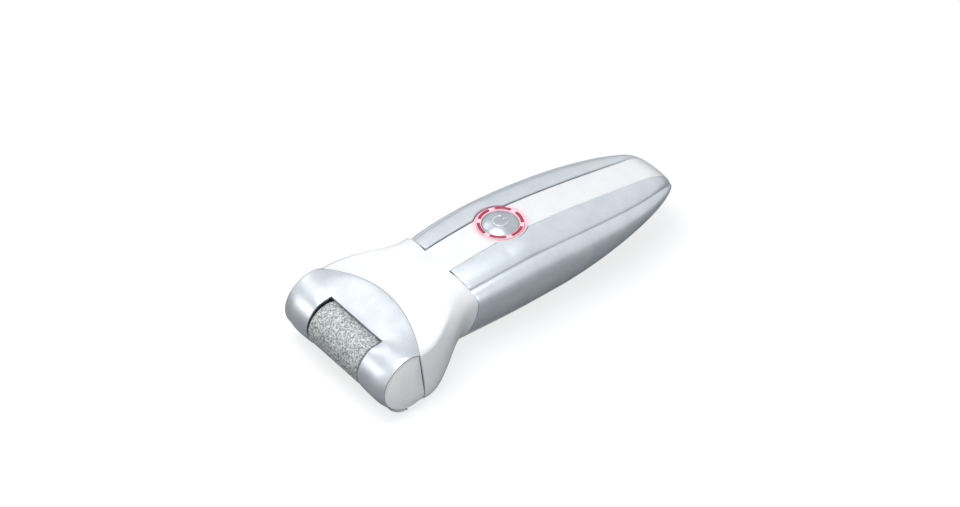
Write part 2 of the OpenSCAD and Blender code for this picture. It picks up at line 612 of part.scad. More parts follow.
module release_bracket() color(STEEL) mirror([0, 1, 0]) {
  across(bracket_y, bracket_y + 1) difference() {
    union() {
      translate([lobe_x, lobe_z]) circle(r = 11, $fn = 96);
      translate(post_at[0]) circle(r = 1.5, $fn = 32);
    }
    translate([roller_x, roller_z]) circle(r = idle_r + run_gap, $fn = 36);
    translate([rod_x, roller_z]) circle(r = 1.05, $fn = 36);
    for (p = guide_pins) translate(p) circle(r = 1.05, $fn = 36);
  }
  for (s = [-1, 1]) difference() {
    translate([pivot_x - 1.6, lever_y - 1.6, roller_z + s * 4.8 - 0.6])
      cube([3.2, bracket_y - lever_y + 1.6, 1.2]);
    rod_z(pivot_x, lever_y, 0.72, 0, 40);
  }
}
module lever_pin() color(STEEL) rod_z(pivot_x, -lever_y, 0.7, roller_z - 5.6, roller_z + 5.6);
// Rocker: the button pushes its rear end in and its fork draws the idle pin out
module release_lever() color(LIGHT_SILVER) translate([pivot_x, -lever_y, roller_z]) difference() {
  union() {
    rod_z(0, 0, 1.4, -3.4, 3.4);
    translate([0, -0.7, -1.5]) cube([lever_reach, 1.4, 3]);
    rod_z(lever_reach, 0, 1, -1.5, 1.5);
    for (z = [-3.4, 2.15]) {
      translate([-lever_reach, -0.7, z]) cube([lever_reach, 1.4, 1.25]);
      rod_z(-lever_reach, 0, 1, z, z + 1.25);
    }
  }
  rod_z(0, 0, 0.75, -5, 5);
}
module idle_pin() color(STEEL) {
  rod_y(roller_x, roller_z, idle_r, -bracket_y - 0.5, -roller_l / 2 + release_travel - 0.25);
  rod_y(roller_x, roller_z, 3.5, -collar_y - 1.2, -collar_y);
}

// A coil along +Z, from z = 0 to h, whose radius goes from r0 to r1
module coil(r0, r1, wire, h, turns) {
  n = 14;
  m = 6;
  k = round(turns * n);
  points = [for (i = [0:k]) let (a = i * 360 / n, r = mix(r0, r1, i / k))
    for (q = [0:m - 1]) let (b = q * 360 / m)
    [(r + wire * cos(b)) * cos(a), (r + wire * cos(b)) * sin(a),
      wire + (h - 2 * wire) * i / k + wire * sin(b)]];
  faces = concat(
    [for (i = [0:k - 1], q = [0:m - 1]) let (a = i * m + q, b = i * m + (q + 1) % m)
      each [[a, b, b + m], [a, b + m, a + m]]],
    [[for (q = [m - 1:-1:0]) q]], [[for (q = [0:m - 1]) k * m + q]]);
  polyhedron(points = points, faces = faces);
}
module release_spring() color(STEEL) translate([roller_x, -bracket_y - 1.05, roller_z]) rotate([90, 0, 0])
  coil(3.4, 3.4, 0.3, leaf_y - bracket_y - 1.1, 3);
module pin_spring() color(STEEL) translate([roller_x, -collar_y - 1.25, roller_z]) rotate([90, 0, 0])
  coil(2.75, 2.75, 0.3, bracket_y - collar_y - 1.3, 3);

// ---------- power button and its light ring ----------
module power_button() color(SILVER) translate([button_x, 0, 0]) {
  intersection() {
    rod_z(0, 0, button_d / 2, ring_z - 2, ring_z + 4, 96);
    translate([0, 0, ring_z + button_rise - button_dome_r]) sphere(r = button_dome_r, $fn = 96);
  }
  rod_z(0, 0, button_d / 2 + 0.8, ring_z - 2.9, ring_z - 2, 72);
  rod_z(0, 0, 2.4, plunger_z + 0.05, ring_z - 2.5);
}
module light_ring() color(LIGHT_SILVER) translate([button_x, 0, 0]) difference() {
  union() {
    rod_z(0, 0, ring_d / 2, ring_z - 4.15, ring_z, 96);
    rod_z(0, 0, ring_d / 2 + 1.3, ring_z - 4.15, ring_z - 2.65 - panel_drop, 96);
  }
  rod_z(0, 0, button_d / 2 + 0.15, 0, 60, 96);
  rod_z(0, 0, button_d / 2 + 1, 0, ring_z - 1.8, 96);
  window_arcs(window_r0 - 0.05, window_r1 + 0.05, window_angle + 1, ring_z - 0.9, 3);
}
module window_arcs(r0, r1, angle, z, h) for (i = [0:window_n - 1])
  rotate([0, 0, window_turn + i * 360 / window_n - angle / 2]) rotate_extrude(angle = angle, $fn = 96)
    translate([r0, z]) square([r1 - r0, h]);
module ring_windows() color([0.7, 0.1, 0.2]) translate([button_x, 0, 0])
  window_arcs(window_r0, window_r1, window_angle, ring_z - 0.85, 0.9);
module ring_leds() color([0.9, 0.5, 0.5]) for (i = [0:window_n - 1]) rotate_about_button(i) {
  translate([led_r - 0.8, -1.2, board_z + 1.22]) cube([1.6, 2.4, 0.6]);
  intersection() {
    translate([led_r, 0, board_z + 1.8]) sphere(r = 0.8, $fn = 32);
    translate([led_r - 1, -1, board_z + 1.8]) cube([2, 2, 2]);
  }
}
module rotate_about_button(i) translate([button_x, 0, 0])
  rotate([0, 0, window_turn + i * 360 / window_n]) children();

// ---------- electronics ----------
module circuit_board() color([0.1, 0.4, 0.25]) translate([0, 0, board_z]) linear_extrude(1.2) difference() {
  union() {
    translate([button_x - 19, -8]) square([29.5, 16]);
    translate([button_x, 0]) circle(r = 10.4, $fn = 96);
  }
  for (p = stake_at) translate(p) circle(r = 0.75, $fn = 24);
}
module power_switch() color(DARK) difference() {
  translate([button_x - 3, -3, board_z + 1.22]) cube([6, 6, 1.3]);
  rod_z(button_x, 0, 1.65, board_z, board_z + 4);
}
module switch_plunger() color(STEEL) rod_z(button_x, 0, 1.6, plunger_z - 1.5, plunger_z);

// ---------- batteries ----------
// Frame that holds the cells from above and carries the circuit board
module cell_sides() for (y = [-cell_y, cell_y]) translate([y, cell_z]) children();
module inner_frame() color(DARK) difference() {
  union() {
    along(frame_x0, frame_x1) difference() {
      cell_sides() circle(r = cell_d / 2 + 1.2, $fn = 72);
      cell_sides() circle(r = cell_d / 2 + 0.2, $fn = 72);
      translate([-30, 0]) square([60, cell_z + 2.5]);
    }
    for (x = [frame_x0, frame_x1 - 1.2]) along(x, x + 1.2) {
      cell_sides() circle(r = cell_d / 2 + 0.5, $fn = 72);
      translate([-cell_y, cell_z - 5]) square([2 * cell_y, 5 + cell_d / 2 + 0.5]);
    }
    along(frame_x0, frame_x0 + 1.2) translate([-7.5, cell_z]) square([15, deck_z + 1.2 - cell_z]);
    translate([deck_x0, -7.5, deck_z]) cube([frame_x0 + 1.2 - deck_x0, 15, 1.2]);
    for (y = [-4.6, 4.6]) rod_z(frame_screw_x, y, 2.6, wall + 0.05, deck_z + 0.5);
    for (p = stake_at) rod_z(p[0], p[1], 1.4, deck_z, board_z - 0.02);
    for (p = stake_at) rod_z(p[0], p[1], 0.7, deck_z, board_z + 1.7);
  }
  for (y = [-4.6, 4.6]) rod_z(frame_screw_x, y, screw_r, 0, 8);
}
module rod_x_at(x0, x1, r, n = 48)
  translate([x0, 0, 0]) rotate([0, 90, 0]) cylinder(r = r, h = x1 - x0, $fn = n);
module cell() {
  rod_x_at(0, cell_l - 1, cell_d / 2, 72);
  rod_x_at(cell_l - 1.01, cell_l, 2.75);
}
module battery_cells() color([0.3, 0.3, 0.35]) {
  translate([cell_x, cell_y, cell_z]) cell();
  translate([cell_x + cell_l, -cell_y, cell_z]) mirror([1, 0, 0]) cell();
}
// A contact plate with a coil for the flat end and a boss for the other
module contact_plate(y) translate([0, y, 0]) along(0, 0.3) translate([-4.5, cell_z - 5]) square([9, 10]);
module front_contacts() color(STEEL) translate([frame_x0 + 1.25, 0, 0]) {
  for (y = [-cell_y, cell_y]) contact_plate(y);
  translate([0.3, cell_y, cell_z]) rotate([0, 90, 0]) coil(3.9, 1.9, 0.3, contact_gap - 0.4, 2.5);
  translate([0, -cell_y, cell_z]) rod_x_at(0.2, contact_gap - 0.1, 2);
}
module rear_contacts() color(STEEL) translate([frame_x1 - 1.25, 0, 0]) mirror([1, 0, 0]) {
  for (y = [-cell_y, cell_y]) contact_plate(y);
  along(0, 0.3) translate([-cell_y, cell_z - 5]) square([2 * cell_y, 7]);
  translate([0.3, -cell_y, cell_z]) rotate([0, 90, 0]) coil(3.9, 1.9, 0.3, contact_gap - 0.4, 2.5);
  translate([0, cell_y, cell_z]) rod_x_at(0.2, contact_gap - 0.1, 2);
}

// ---------- wires and screws ----------
// A tube of round section through a list of points
module wire_run(points) {
  n = len(points);
  m = 6;
  ring = [for (i = [0:n - 1])
    let (d = points[min(i + 1, n - 1)] - points[max(i - 1, 0)], u = cross(d, [0, 1, 0]), w = cross(d, u))
    for (q = [0:m - 1]) points[i] + 0.6 * (cos(q * 60) * u / norm(u) + sin(q * 60) * w / norm(w))];
  faces = concat(
    [for (i = [0:n - 2], q = [0:m - 1]) let (a = i * m + q, b = i * m + (q + 1) % m)
      each [[a, b + m, b], [a, a + m, b + m]]],
    [[for (q = [0:m - 1]) q]], [[for (q = [m - 1:-1:0]) (n - 1) * m + q]]);
  polyhedron(points = ring, faces = faces);
}
module wires() color([0.7, 0.15, 0.15]) for (s = [-1, 1]) {
  wire_run([
    [motor_x + s * 5, motor_y1 - motor_l - 2.8, motor_z + 2],
    [motor_x + s * 5 + 1, motor_y1 - motor_l - 3.2, motor_z + 8],
    [deck_x0 - 6, s * 4, board_z + 2],
    [button_x - 21, s * 4, board_z + 2.6],
    [button_x - 17.5, s * 4, board_z + 1.9]
  ]);
}
module housing_screws() color(STEEL) for (p = screw_at) {
  rod_z(p[0], p[1], screw_r - 0.02, 0.8, 7);
  rod_z(p[0], p[1], screw_head_r, 0.2, 0.88);
}

upper_housing();
lower_housing();
left_grip();
right_grip();
head_bezel();
drive_side_cap();
battery_cover();
drive_frame();
gear_plate();
drive_bush();
drive_gear();
idler_gear();
idler_axle();
motor_pinion();
motor();
abrasive_sleeve();
roller_core();
roller_end_cap();
release_button();
release_spring();
release_bracket();
release_lever();
lever_pin();
idle_pin();
pin_spring();
power_button();
light_ring();
ring_windows();
ring_leds();
circuit_board();
power_switch();
switch_plunger();
inner_frame();
battery_cells();
front_contacts();
rear_contacts();
wires();
housing_screws();
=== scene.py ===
"""Electric callus remover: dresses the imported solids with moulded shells, lacquers and a grit roller."""

import bpy
import bmesh
import json
import math
import random
from mathutils import Matrix, Vector


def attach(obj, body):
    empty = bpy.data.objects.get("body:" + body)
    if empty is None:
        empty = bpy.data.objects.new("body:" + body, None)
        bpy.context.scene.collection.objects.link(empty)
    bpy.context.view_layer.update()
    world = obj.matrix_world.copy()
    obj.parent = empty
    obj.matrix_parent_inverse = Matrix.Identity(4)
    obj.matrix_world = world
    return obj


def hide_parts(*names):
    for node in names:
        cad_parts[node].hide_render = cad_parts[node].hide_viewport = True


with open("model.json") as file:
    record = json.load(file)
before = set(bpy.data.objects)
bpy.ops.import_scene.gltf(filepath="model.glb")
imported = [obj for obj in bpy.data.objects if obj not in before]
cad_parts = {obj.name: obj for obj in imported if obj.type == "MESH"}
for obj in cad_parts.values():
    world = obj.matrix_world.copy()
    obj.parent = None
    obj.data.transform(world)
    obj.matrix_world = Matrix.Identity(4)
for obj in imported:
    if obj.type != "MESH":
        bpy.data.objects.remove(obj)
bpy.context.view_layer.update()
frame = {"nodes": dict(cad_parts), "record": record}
MM = 0.001

# ---------------------------------------------------------------- driving sizes, in millimetres
# +X runs from the head to the tail, +Z points up, and Z = 0 is the rest plane.
# Length from the front of the head to the tail tip
BODY_L = 174.6
# Greatest width of the handle
HANDLE_W = 51.6
# Height of the top panel beside the power button, and how far it lies below the edges of the grips
PANEL_H = 39.9
PANEL_DROP = 0.7
# Distance from the front of the head to the front edge of the grips
NECK_L = 54.8
# Thickness of the moulded shells, and of the battery cover
WALL = 2.0
COVER_WALL = WALL - 0.2
# Gap at the seams, and the wider gap round the grips
SEAM = 0.15
GRIP_SEAM = 0.38
# The roller, the height of its axis, and its clearance to the sides and round it
ROLLER_D = 21.2
ROLLER_L = 33.5
ROLLER_Z = 16.8
ROLLER_SIDE = 0.45
ROLLER_GAP = 0.7
# Width of each end of the head, from the roller's end to the end leaf
END_W = 17.55
# Depth of the round lobes over the roller, and distance of their middles from the roller's ends
LOBE_DEPTH = 4.6
LOBE_REACH = 9.75
# How far the end discs' edge lies inside the lobes
DISC_INSET = 2.0
# Thickness of the head bezel, of its rim round the end leaves, and of that rim's foot
BEZEL_T = 1.4
RIM_T = 0.5
RIM_FOOT_T = 0.12
# Place and radius of the power button, outer radius of the light ring and its number of windows
BUTTON_X = 0.5
BUTTON_R = 7.8
RING_R = 10.0
WINDOW_N = 6
# How far the button's crown stands over the ring, how much lower its edge is, and the crown's power
BUTTON_RISE = 1.3
BUTTON_FALL = 1.9
BUTTON_POWER = 2.3
# Gap round the end leaves, and depth of the grit between its grains
LEAF_GAP = 0.03
GRAIN_DEPTH = 0.09
# The housing screws: places (x, half the spacing), and radius and depth of their holes and seats
SCREW_PAIRS = [(-55.05, 8), (-20.5, 4.6)]
HOLE_R = 1.2
HOLE_DEPTH = 4
SEAT_R = 2.1
SEAT_DEPTH = 0.9

# ---------------------------------------------------------------- places along the body
FRONT_X = -BODY_L / 2
TIP_X = BODY_L / 2
GRIP_X = FRONT_X + NECK_L
WIDE_X = GRIP_X + 35.3
TAIL_X = TIP_X - 15
ROLLER_X = FRONT_X + ROLLER_D / 2 + 0.15
LOBE_R = ROLLER_D / 2 + LOBE_DEPTH
LOBE_X = ROLLER_X + 4.1
LOBE_Y = ROLLER_L / 2 + LOBE_REACH
LOBE_Z = ROLLER_Z - 1.8
DISC_R = LOBE_R - DISC_INSET
DISC_X = LOBE_X + 0.85
DISC_Z = LOBE_Z + 0.6
HEAD_Y = ROLLER_L / 2 + END_W
RIM_Y = HEAD_Y - 0.9
# Middle of the line where the bezel meets the neck
PART_X = LOBE_X + 14.1
PART_Z = LOBE_Z + 18.8
# The battery cover's front and rear edges
COVER_X0 = BUTTON_X
COVER_X1 = 57.5
RING_Z = PANEL_H + 0.1
WINDOW_HW = ROLLER_L / 2 + ROLLER_SIDE

# ---------------------------------------------------------------- form of the handle
# Height of the tail's tip, and roundness of the tail seen from above
TIP_Z = 16.5
TAIL_N = 2.5
# Each side is this much narrower at the grips' front edge
WAIST = 1.8
# Fall of the panel towards the tail over FALL_L, with its power, and its fall towards the neck
TAIL_FALL = 8.1
FALL_L = 65.3
FALL_POWER = 1.43
NECK_FALL = 2.2
# Rise of the panel's middle over its edges
CROWN = 0.7
# The flat base: its rear end, the power of the rise behind it, its half width, and how it narrows
BASE_X = 18.5
BASE_POWER = 1.8
BASE_HW = 8
BASE_NARROW = 2
BASE_RUN = 60
BASE_SHARE = 0.4
# The widest line: its height, which falls 1 mm in each WIDE_RUN
WIDE_Z = 27
WIDE_RUN = 30
# The panel's half width, which narrows 1 mm in each STRIP_RUN, and its greatest share of the handle
STRIP_HW = 8.3
STRIP_RUN = 80
STRIP_SHARE = 0.55
# White land round the light ring
RING_LAND = 1.3
# The grips' crease: its place between panel and widest line, its depth, and how much that fades
CREASE_SHARE = 0.69
CREASE_DROP = 5
CREASE_FADE = 0.35
# Roundness of the section's stretches: the grip's upper face, its flank, and the belly with its change
FACE_N = 2
FLANK_N = 1.9
BELLY_N = 1.6
BELLY_FADE = 0.1
# The grips' front edge: how far it bows back, over which length, and the shape of the bow
BOW_D = 2.8
BOW_RUN = 14
BOW_SPLIT = 0.6
BOW_POWER = 1.3
# The sunken panel: how wide its step is in v, and the share by which it narrows
DROP_STEP = 0.3
DROP_NARROW = PANEL_DROP / 18
# Towards the tail it comes up again over TAIL_RISE, and is level this far before the tip
TAIL_RISE = 12
TAIL_LEVEL = 6
# Beside the panel's edge, one step of v spans this much of the grip
EDGE_RUN = 18
# The inside of a shell keeps at least this share of the section
INNER_LEAST = 0.5
# Lines of v: the split between upper and lower housing at the handle and head, and the cover's edge
SPLIT_V = 3.5
SPLIT_NECK_V = 3.76
COVER_V = 3.56
# The same seam as a step of v, between the housings and along the battery cover
V_GAP = SEAM / 30
COVER_V_GAP = V_GAP * 1.6

# ---------------------------------------------------------------- form of the head
# The line where bezel and neck meet sweeps forward and down towards the sides
PART_SWEEP = 8.75
PART_FALL = 5.2
PART_MID_Y = 8
SIDE_SLOPE = 0.115
# The neck's widest line at the head, half the width of its base there, and roundness of its ends
NECK_WIDE_Z = LOBE_Z + 2
NECK_BASE_HW = HEAD_Y - 6.3
NECK_START_N = 2.6
NECK_END_N = 2.4
# The flare: where along the neck it ends, and its power
FLARE_END = 0.93
FLARE_POWER = 1.25
# The neck's last stretch sinks to the level of the panel
SINK_START = 0.7
SINK_RUN = 0.3
# The neck starts this share of its length behind the bezel, which leaves the seam between them
NECK_SEAM = 0.0055
# The toe under the head, in front of the neck: length, narrowing, rise and rows
TOE_L = 9.8
TOE_NARROW = 0.03
TOE_RISE = 1.5
TOE_ROWS = 6
# Angles round the head, from 0 at the top forwards and down: window, lip under it and rim's foot
WINDOW_F = 6.0
LIP_F = 148.0
LIP_RUN = 20
FOOT_F = 172.0
# Angles over which the lobes get lower towards their underside, and by how much
LOW_F = 70
LOW_RUN = 50
LOW_STEP = 1.6
# Radius of the bridge over the roller, and steps of the flanks and the lip below the lobes' top
BRIDGE_R = LOBE_R - 1.4
FLANK_STEP = 0.3
LIP_STEP = 0.2
# The flanks reach their radius over FLANK_RUN below the window's upper edge, and rise with this power.
# Above that edge they get wider by BLEND_Y over BLEND_RUN.
FLANK_RUN = 14
FLANK_POWER = 0.8
BLEND_RUN = 16
BLEND_Y = 5
# The lobes fall to the rim along this share of a quarter circle, and end this far over the discs
EDGE_SHARE = 0.97
EDGE_STEP = 0.8
# The rim starts this far beyond the lobes' middles, and gets its own thickness over RIM_RUN
RIM_START = 1
RIM_RUN = 3


# ---------------------------------------------------------------- curves of the shells
def mix(a, b, t):
    return a + (b - a) * t


def unit(t):
    return max(0.0, min(1.0, t))


def smooth(t):
    c = unit(t)
    return c * c * (3 - 2 * c)


def sind(a):
    return math.sin(math.radians(a))


def cosd(a):
    return math.cos(math.radians(a))


def steps(a, b, n):
    return [mix(a, b, i / n) for i in range(n + 1)]


def over(p, q, t, n):
    """A quarter of a superellipse that leaves p level and reaches q upright."""
    return (mix(p[0], q[0], sind(90 * t) ** (2 / n)), mix(q[1], p[1], max(0.0, cosd(90 * t)) ** (2 / n)))


def under(p, q, t, n):
    """A quarter of a superellipse that leaves p upright and reaches q level."""
    return (mix(q[0], p[0], max(0.0, cosd(90 * t)) ** (2 / n)), mix(p[1], q[1], sind(90 * t) ** (2 / n)))


def half_w(x):
    if x > WIDE_X:
        u = unit((x - WIDE_X) / (TIP_X - WIDE_X))
        return HANDLE_W / 2 * (1 - u ** TAIL_N) ** (1 / TAIL_N)
    return HANDLE_W / 2 - WAIST * ((x - WIDE_X) / (GRIP_X - WIDE_X)) ** 2


def taper(x):
    """1 along the handle, and down to 0 over the round of the tail."""
    return 1.0 if x < TAIL_X else math.sqrt(max(0.0, 1 - ((x - TAIL_X) / (TIP_X - TAIL_X)) ** 2))


def to_tip(z, x):
    return mix(TIP_Z, z, taper(x))


def panel_z(x):
    fall = TAIL_FALL * (x / FALL_L) ** FALL_POWER if x > 0 else NECK_FALL * (x / GRIP_X) ** 2
    return to_tip(PANEL_H - fall, x)


def base_z(x):
    return to_tip(0.0 if x < BASE_X else TIP_Z * ((x - BASE_X) / (TIP_X - BASE_X)) ** BASE_POWER, x)


def wide_z(x):
    return to_tip(WIDE_Z - max(0.0, x) / WIDE_RUN, x)


def base_hw(x):
    return BASE_HW - BASE_NARROW * unit(x / BASE_RUN)


def strip_hw(x):
    return min(STRIP_SHARE * half_w(x), STRIP_HW - max(0.0, x) / STRIP_RUN)


def panel_hw(x):
    """Half the panel's width, which swells round the light ring."""
    return max(strip_hw(x), math.sqrt(max(0.0, (RING_R + RING_LAND) ** 2 - (x - BUTTON_X) ** 2)))


def crease(x):
    drop = CREASE_DROP * taper(x) * (1 - CREASE_FADE * max(0.0, x) / TIP_X)
    return (mix(strip_hw(x), half_w(x), CREASE_SHARE), panel_z(x) - drop)


def handle_yz(x, v):
    """A point of the handle's section. From the top centre, v = 0, it runs past the panel's edge, 1,
    the crease, 2, and the widest line, 3, to the edge of the flat base, 4, and the bottom centre, 5."""
    edge, fold, wide = (panel_hw(x), panel_z(x)), crease(x), (half_w(x), wide_z(x))
    base = (min(base_hw(x), BASE_SHARE * wide[0]), base_z(x))
    if v <= 1:
        return (edge[0] * v, edge[1] + CROWN * taper(x) * (1 - v * v))
    if v <= 2:
        return over(edge, fold, v - 1, FACE_N)
    if v <= 3:
        return over(fold, wide, v - 2, FLANK_N)
    if v <= 4:
        return under(wide, base, v - 3, BELLY_N - BELLY_FADE * unit(x / BASE_RUN))
    return (base[0] * (5 - v), base[1])


def bow(z):
    """The grips' front edge bows back at the middle of its height."""
    top, wide = panel_z(GRIP_X), wide_z(GRIP_X)
    u = (top - z) / (top - wide) * BOW_SPLIT if z > wide else 1 - (1 - BOW_SPLIT) * z / wide
    return BOW_D * sind(180 * unit(u)) ** BOW_POWER


def sunk(p, v, share):
    """The top panel lies lower than the grips' edges and stands clear of them."""
    k = share * (1 - smooth((v - 1) / DROP_STEP))
    return (p[0], p[1] * (1 - DROP_NARROW * k), p[2] - PANEL_DROP * k)


def handle_pt(x, v, depth=0.0):
    """The handle's surface, or the inside of its shell at that depth."""
    y, z = handle_yz(x, v)
    px = x + bow(z) * unit(1 - (x - GRIP_X) / BOW_RUN)
    if depth:
        top = panel_z(x) + CROWN * taper(x)
        mid, half = (top + base_z(x)) / 2, (top - base_z(x)) / 2
        px = px if x < TAIL_X else TAIL_X + (px - TAIL_X) * (1 - depth / (TIP_X - TAIL_X))
        y *= max(INNER_LEAST, 1 - depth / half_w(x))
        z = mid + (z - mid) * max(INNER_LEAST, 1 - depth / half)
    return (px, y, z)


def part_pt(y):
    """The line on top of the head where the bezel meets the neck."""
    u = abs(y) / RIM_Y
    return (PART_X - PART_SWEEP * u * u, y, PART_Z - PART_FALL * u * u)


def side_x(z):
    """The neck's front edge on the end of the head, which leans forwards."""
    return part_pt(RIM_Y)[0] + SIDE_SLOPE * (part_pt(RIM_Y)[2] - z)


def neck_start(v):
    """The neck's edge at the bezel, with the handle's v."""
    corner_z, wide = part_pt(RIM_Y)[2], (HEAD_Y, NECK_WIDE_Z)
    if v <= 1:
        return part_pt(PART_MID_Y * v)
    if v <= 2:
        return part_pt(mix(PART_MID_Y, RIM_Y, v - 1))
    if v <= 3:
        y, z = mix(RIM_Y, wide[0], sind(90 * (v - 2))), mix(corner_z, wide[1], v - 2)
    elif v <= 4:
        y, z = under(wide, (NECK_BASE_HW, 0.0), v - 3, NECK_START_N)
    else:
        y, z = NECK_BASE_HW * (5 - v), 0.0
    return (side_x(z), y, z)


def neck_end(v):
    """The neck's edge at the grips: one round from the panel to the widest line, without a crease."""
    edge, wide = (panel_hw(GRIP_X), panel_z(GRIP_X)), (half_w(GRIP_X), wide_z(GRIP_X))
    y, z = over(edge, wide, (v - 1) / 2, NECK_END_N) if 1 < v < 3 else handle_yz(GRIP_X, v)
    return (GRIP_X + bow(z), y, z)


def neck_v(s, v):
    """Below the widest line the neck's columns move down to its lower split line."""
    low = mix(SPLIT_NECK_V, SPLIT_V, s)
    if v <= 3 or v >= 4:
        return v
    if v <= SPLIT_V:
        return mix(3, low, (v - 3) / (SPLIT_V - 3))
    return mix(low, 4, (v - SPLIT_V) / (4 - SPLIT_V))


def neck_raw(s, v):
    """The neck before its top sinks to the panel's level."""
    a, b = neck_start(v), neck_end(v)
    flare = 1.0 if s >= 1 else smooth((s / FLARE_END) ** FLARE_POWER)
    return (mix(a[0], b[0], s), mix(a[1], b[1], flare), mix(a[2], b[2], mix(s, smooth(s), unit(v / 2))))


def neck_pt(s, v, depth=0.0):
    """The neck's surface: s is 0 at the bezel and 1 at the grips."""
    v = neck_v(s, v)
    x, y, z = sunk(neck_raw(s, v), v, smooth((s - SINK_START) / SINK_RUN))
    if depth:
        wide, mid = neck_raw(s, 3)[1], neck_raw(s, 0)[2] / 2
        y *= 1 - depth / wide
        z = mid + (z - mid) * (1 - depth / mid)
    return (x, y, z)


def centre(y):
    """Axis of the head's round: that of the lobes, and that of the discs at the rim."""
    k = smooth((abs(y) - LOBE_Y) / (RIM_Y - LOBE_Y))
    return (mix(LOBE_X, DISC_X, k), mix(LOBE_Z, DISC_Z, k))


def peak(f):
    """Radius along the lobes' middles."""
    return LOBE_R - LOW_STEP * smooth((f - LOW_F) / LOW_RUN)


def edge_r(f):
    """Radius at which the window's edge clears the roller."""
    c = (ROLLER_X - LOBE_X, ROLLER_Z - LOBE_Z)
    r = ROLLER_D / 2 + ROLLER_GAP
    d = -sind(f) * c[0] + cosd(f) * c[1]
    return d + math.sqrt(d * d - c[0] ** 2 - c[1] ** 2 + r * r)


def flank_r(f):
    """Radius of the lobes' flanks beside the window."""
    lip = smooth((f - (LIP_F - LIP_RUN)) / LIP_RUN)
    clear = mix(min(edge_r(f), peak(f) - FLANK_STEP), peak(f) - LIP_STEP, lip)
    return mix(BRIDGE_R, clear, smooth((f - WINDOW_F) / FLANK_RUN))


def lobe_radius(y, f):
    """Radius of the bezel: the bridge over the roller, the flanks, and the fall to the rim."""
    a = abs(y)
    above = smooth((WINDOW_F - f) / BLEND_RUN)
    start = WINDOW_HW - BLEND_Y * above
    if a < start:
        return peak(f) - LIP_STEP if f > 90 else BRIDGE_R
    if a < LOBE_Y:
        t = unit((a - start) / (LOBE_Y - start))
        return mix(flank_r(f), peak(f), mix(sind(90 * t) ** FLANK_POWER, smooth(t), above))
    fall = unit((a - LOBE_Y) / (RIM_Y - LOBE_Y))
    return mix(peak(f), DISC_R + EDGE_STEP, 1 - math.sqrt(1 - (EDGE_SHARE * fall) ** 2))


def at_rim(y):
    """0 on the lobes, and 1 on the rim round the end leaf."""
    return smooth((abs(y) - LOBE_Y - RIM_START) / RIM_RUN)


def part_polar(y):
    """Radius and angle of the line where the bezel meets the neck."""
    p, c = part_pt(y), centre(y)
    return (math.hypot(p[0] - c[0], p[2] - c[1]), -math.degrees(math.atan2(p[0] - c[0], p[2] - c[1])))


def bezel_pt(y, f, depth=0.0):
    """The bezel's surface; behind the window it runs out to the line where it meets the neck."""
    c, q = centre(y), part_polar(y)
    k = unit((WINDOW_F - f) / (WINDOW_F - q[1]))
    # The rim round the end leaf thins out towards its foot.
    thin = (RIM_T - RIM_FOOT_T) * smooth((f - (FOOT_F - LIP_RUN)) / LIP_RUN) * at_rim(y)
    r = mix(lobe_radius(y, f), q[0], k * k) - max(depth, thin)
    return (c[0] - r * sind(f), y, c[1] + r * cosd(f))


# ---------------------------------------------------------------- meshes
# Steps round the button, the ring and round holes
ROUND_STEPS = 96


def new_object(name, data):
    obj = bpy.data.objects.new(name, data)
    bpy.context.scene.collection.objects.link(obj)
    return obj


def bmesh_object(name, bm):
    mesh = bpy.data.meshes.new(name)
    bm.to_mesh(mesh)
    bm.free()
    return new_object(name, mesh)


def smooth_object(name, bm):
    bmesh.ops.recalc_face_normals(bm, faces=bm.faces)
    obj = bmesh_object(name, bm)
    obj.data.shade_smooth()
    return obj


def vertex(bm, x, y, z):
    """A new vertex, at a place in millimetres."""
    return bm.verts.new(Vector((x, y, z)) * MM)


def turns(n):
    """n angles in radians, evenly spaced round a circle."""
    return [2 * math.pi * i / n for i in range(n)]


def join_rings(bm, rings):
    """Walls between neighbouring rings; a ring of one vertex is a pole."""
    for a, b in zip(rings, rings[1:]):
        n = max(len(a), len(b))
        for i in range(n):
            j = (i + 1) % n
            corners = (a[i % len(a)], a[j % len(a)], b[j % len(b)], b[i % len(b)])
            bm.faces.new(tuple(dict.fromkeys(corners)))


def cap_ends(bm, rings):
    bm.faces.new(rings[0][::-1])
    bm.faces.new(rings[-1])


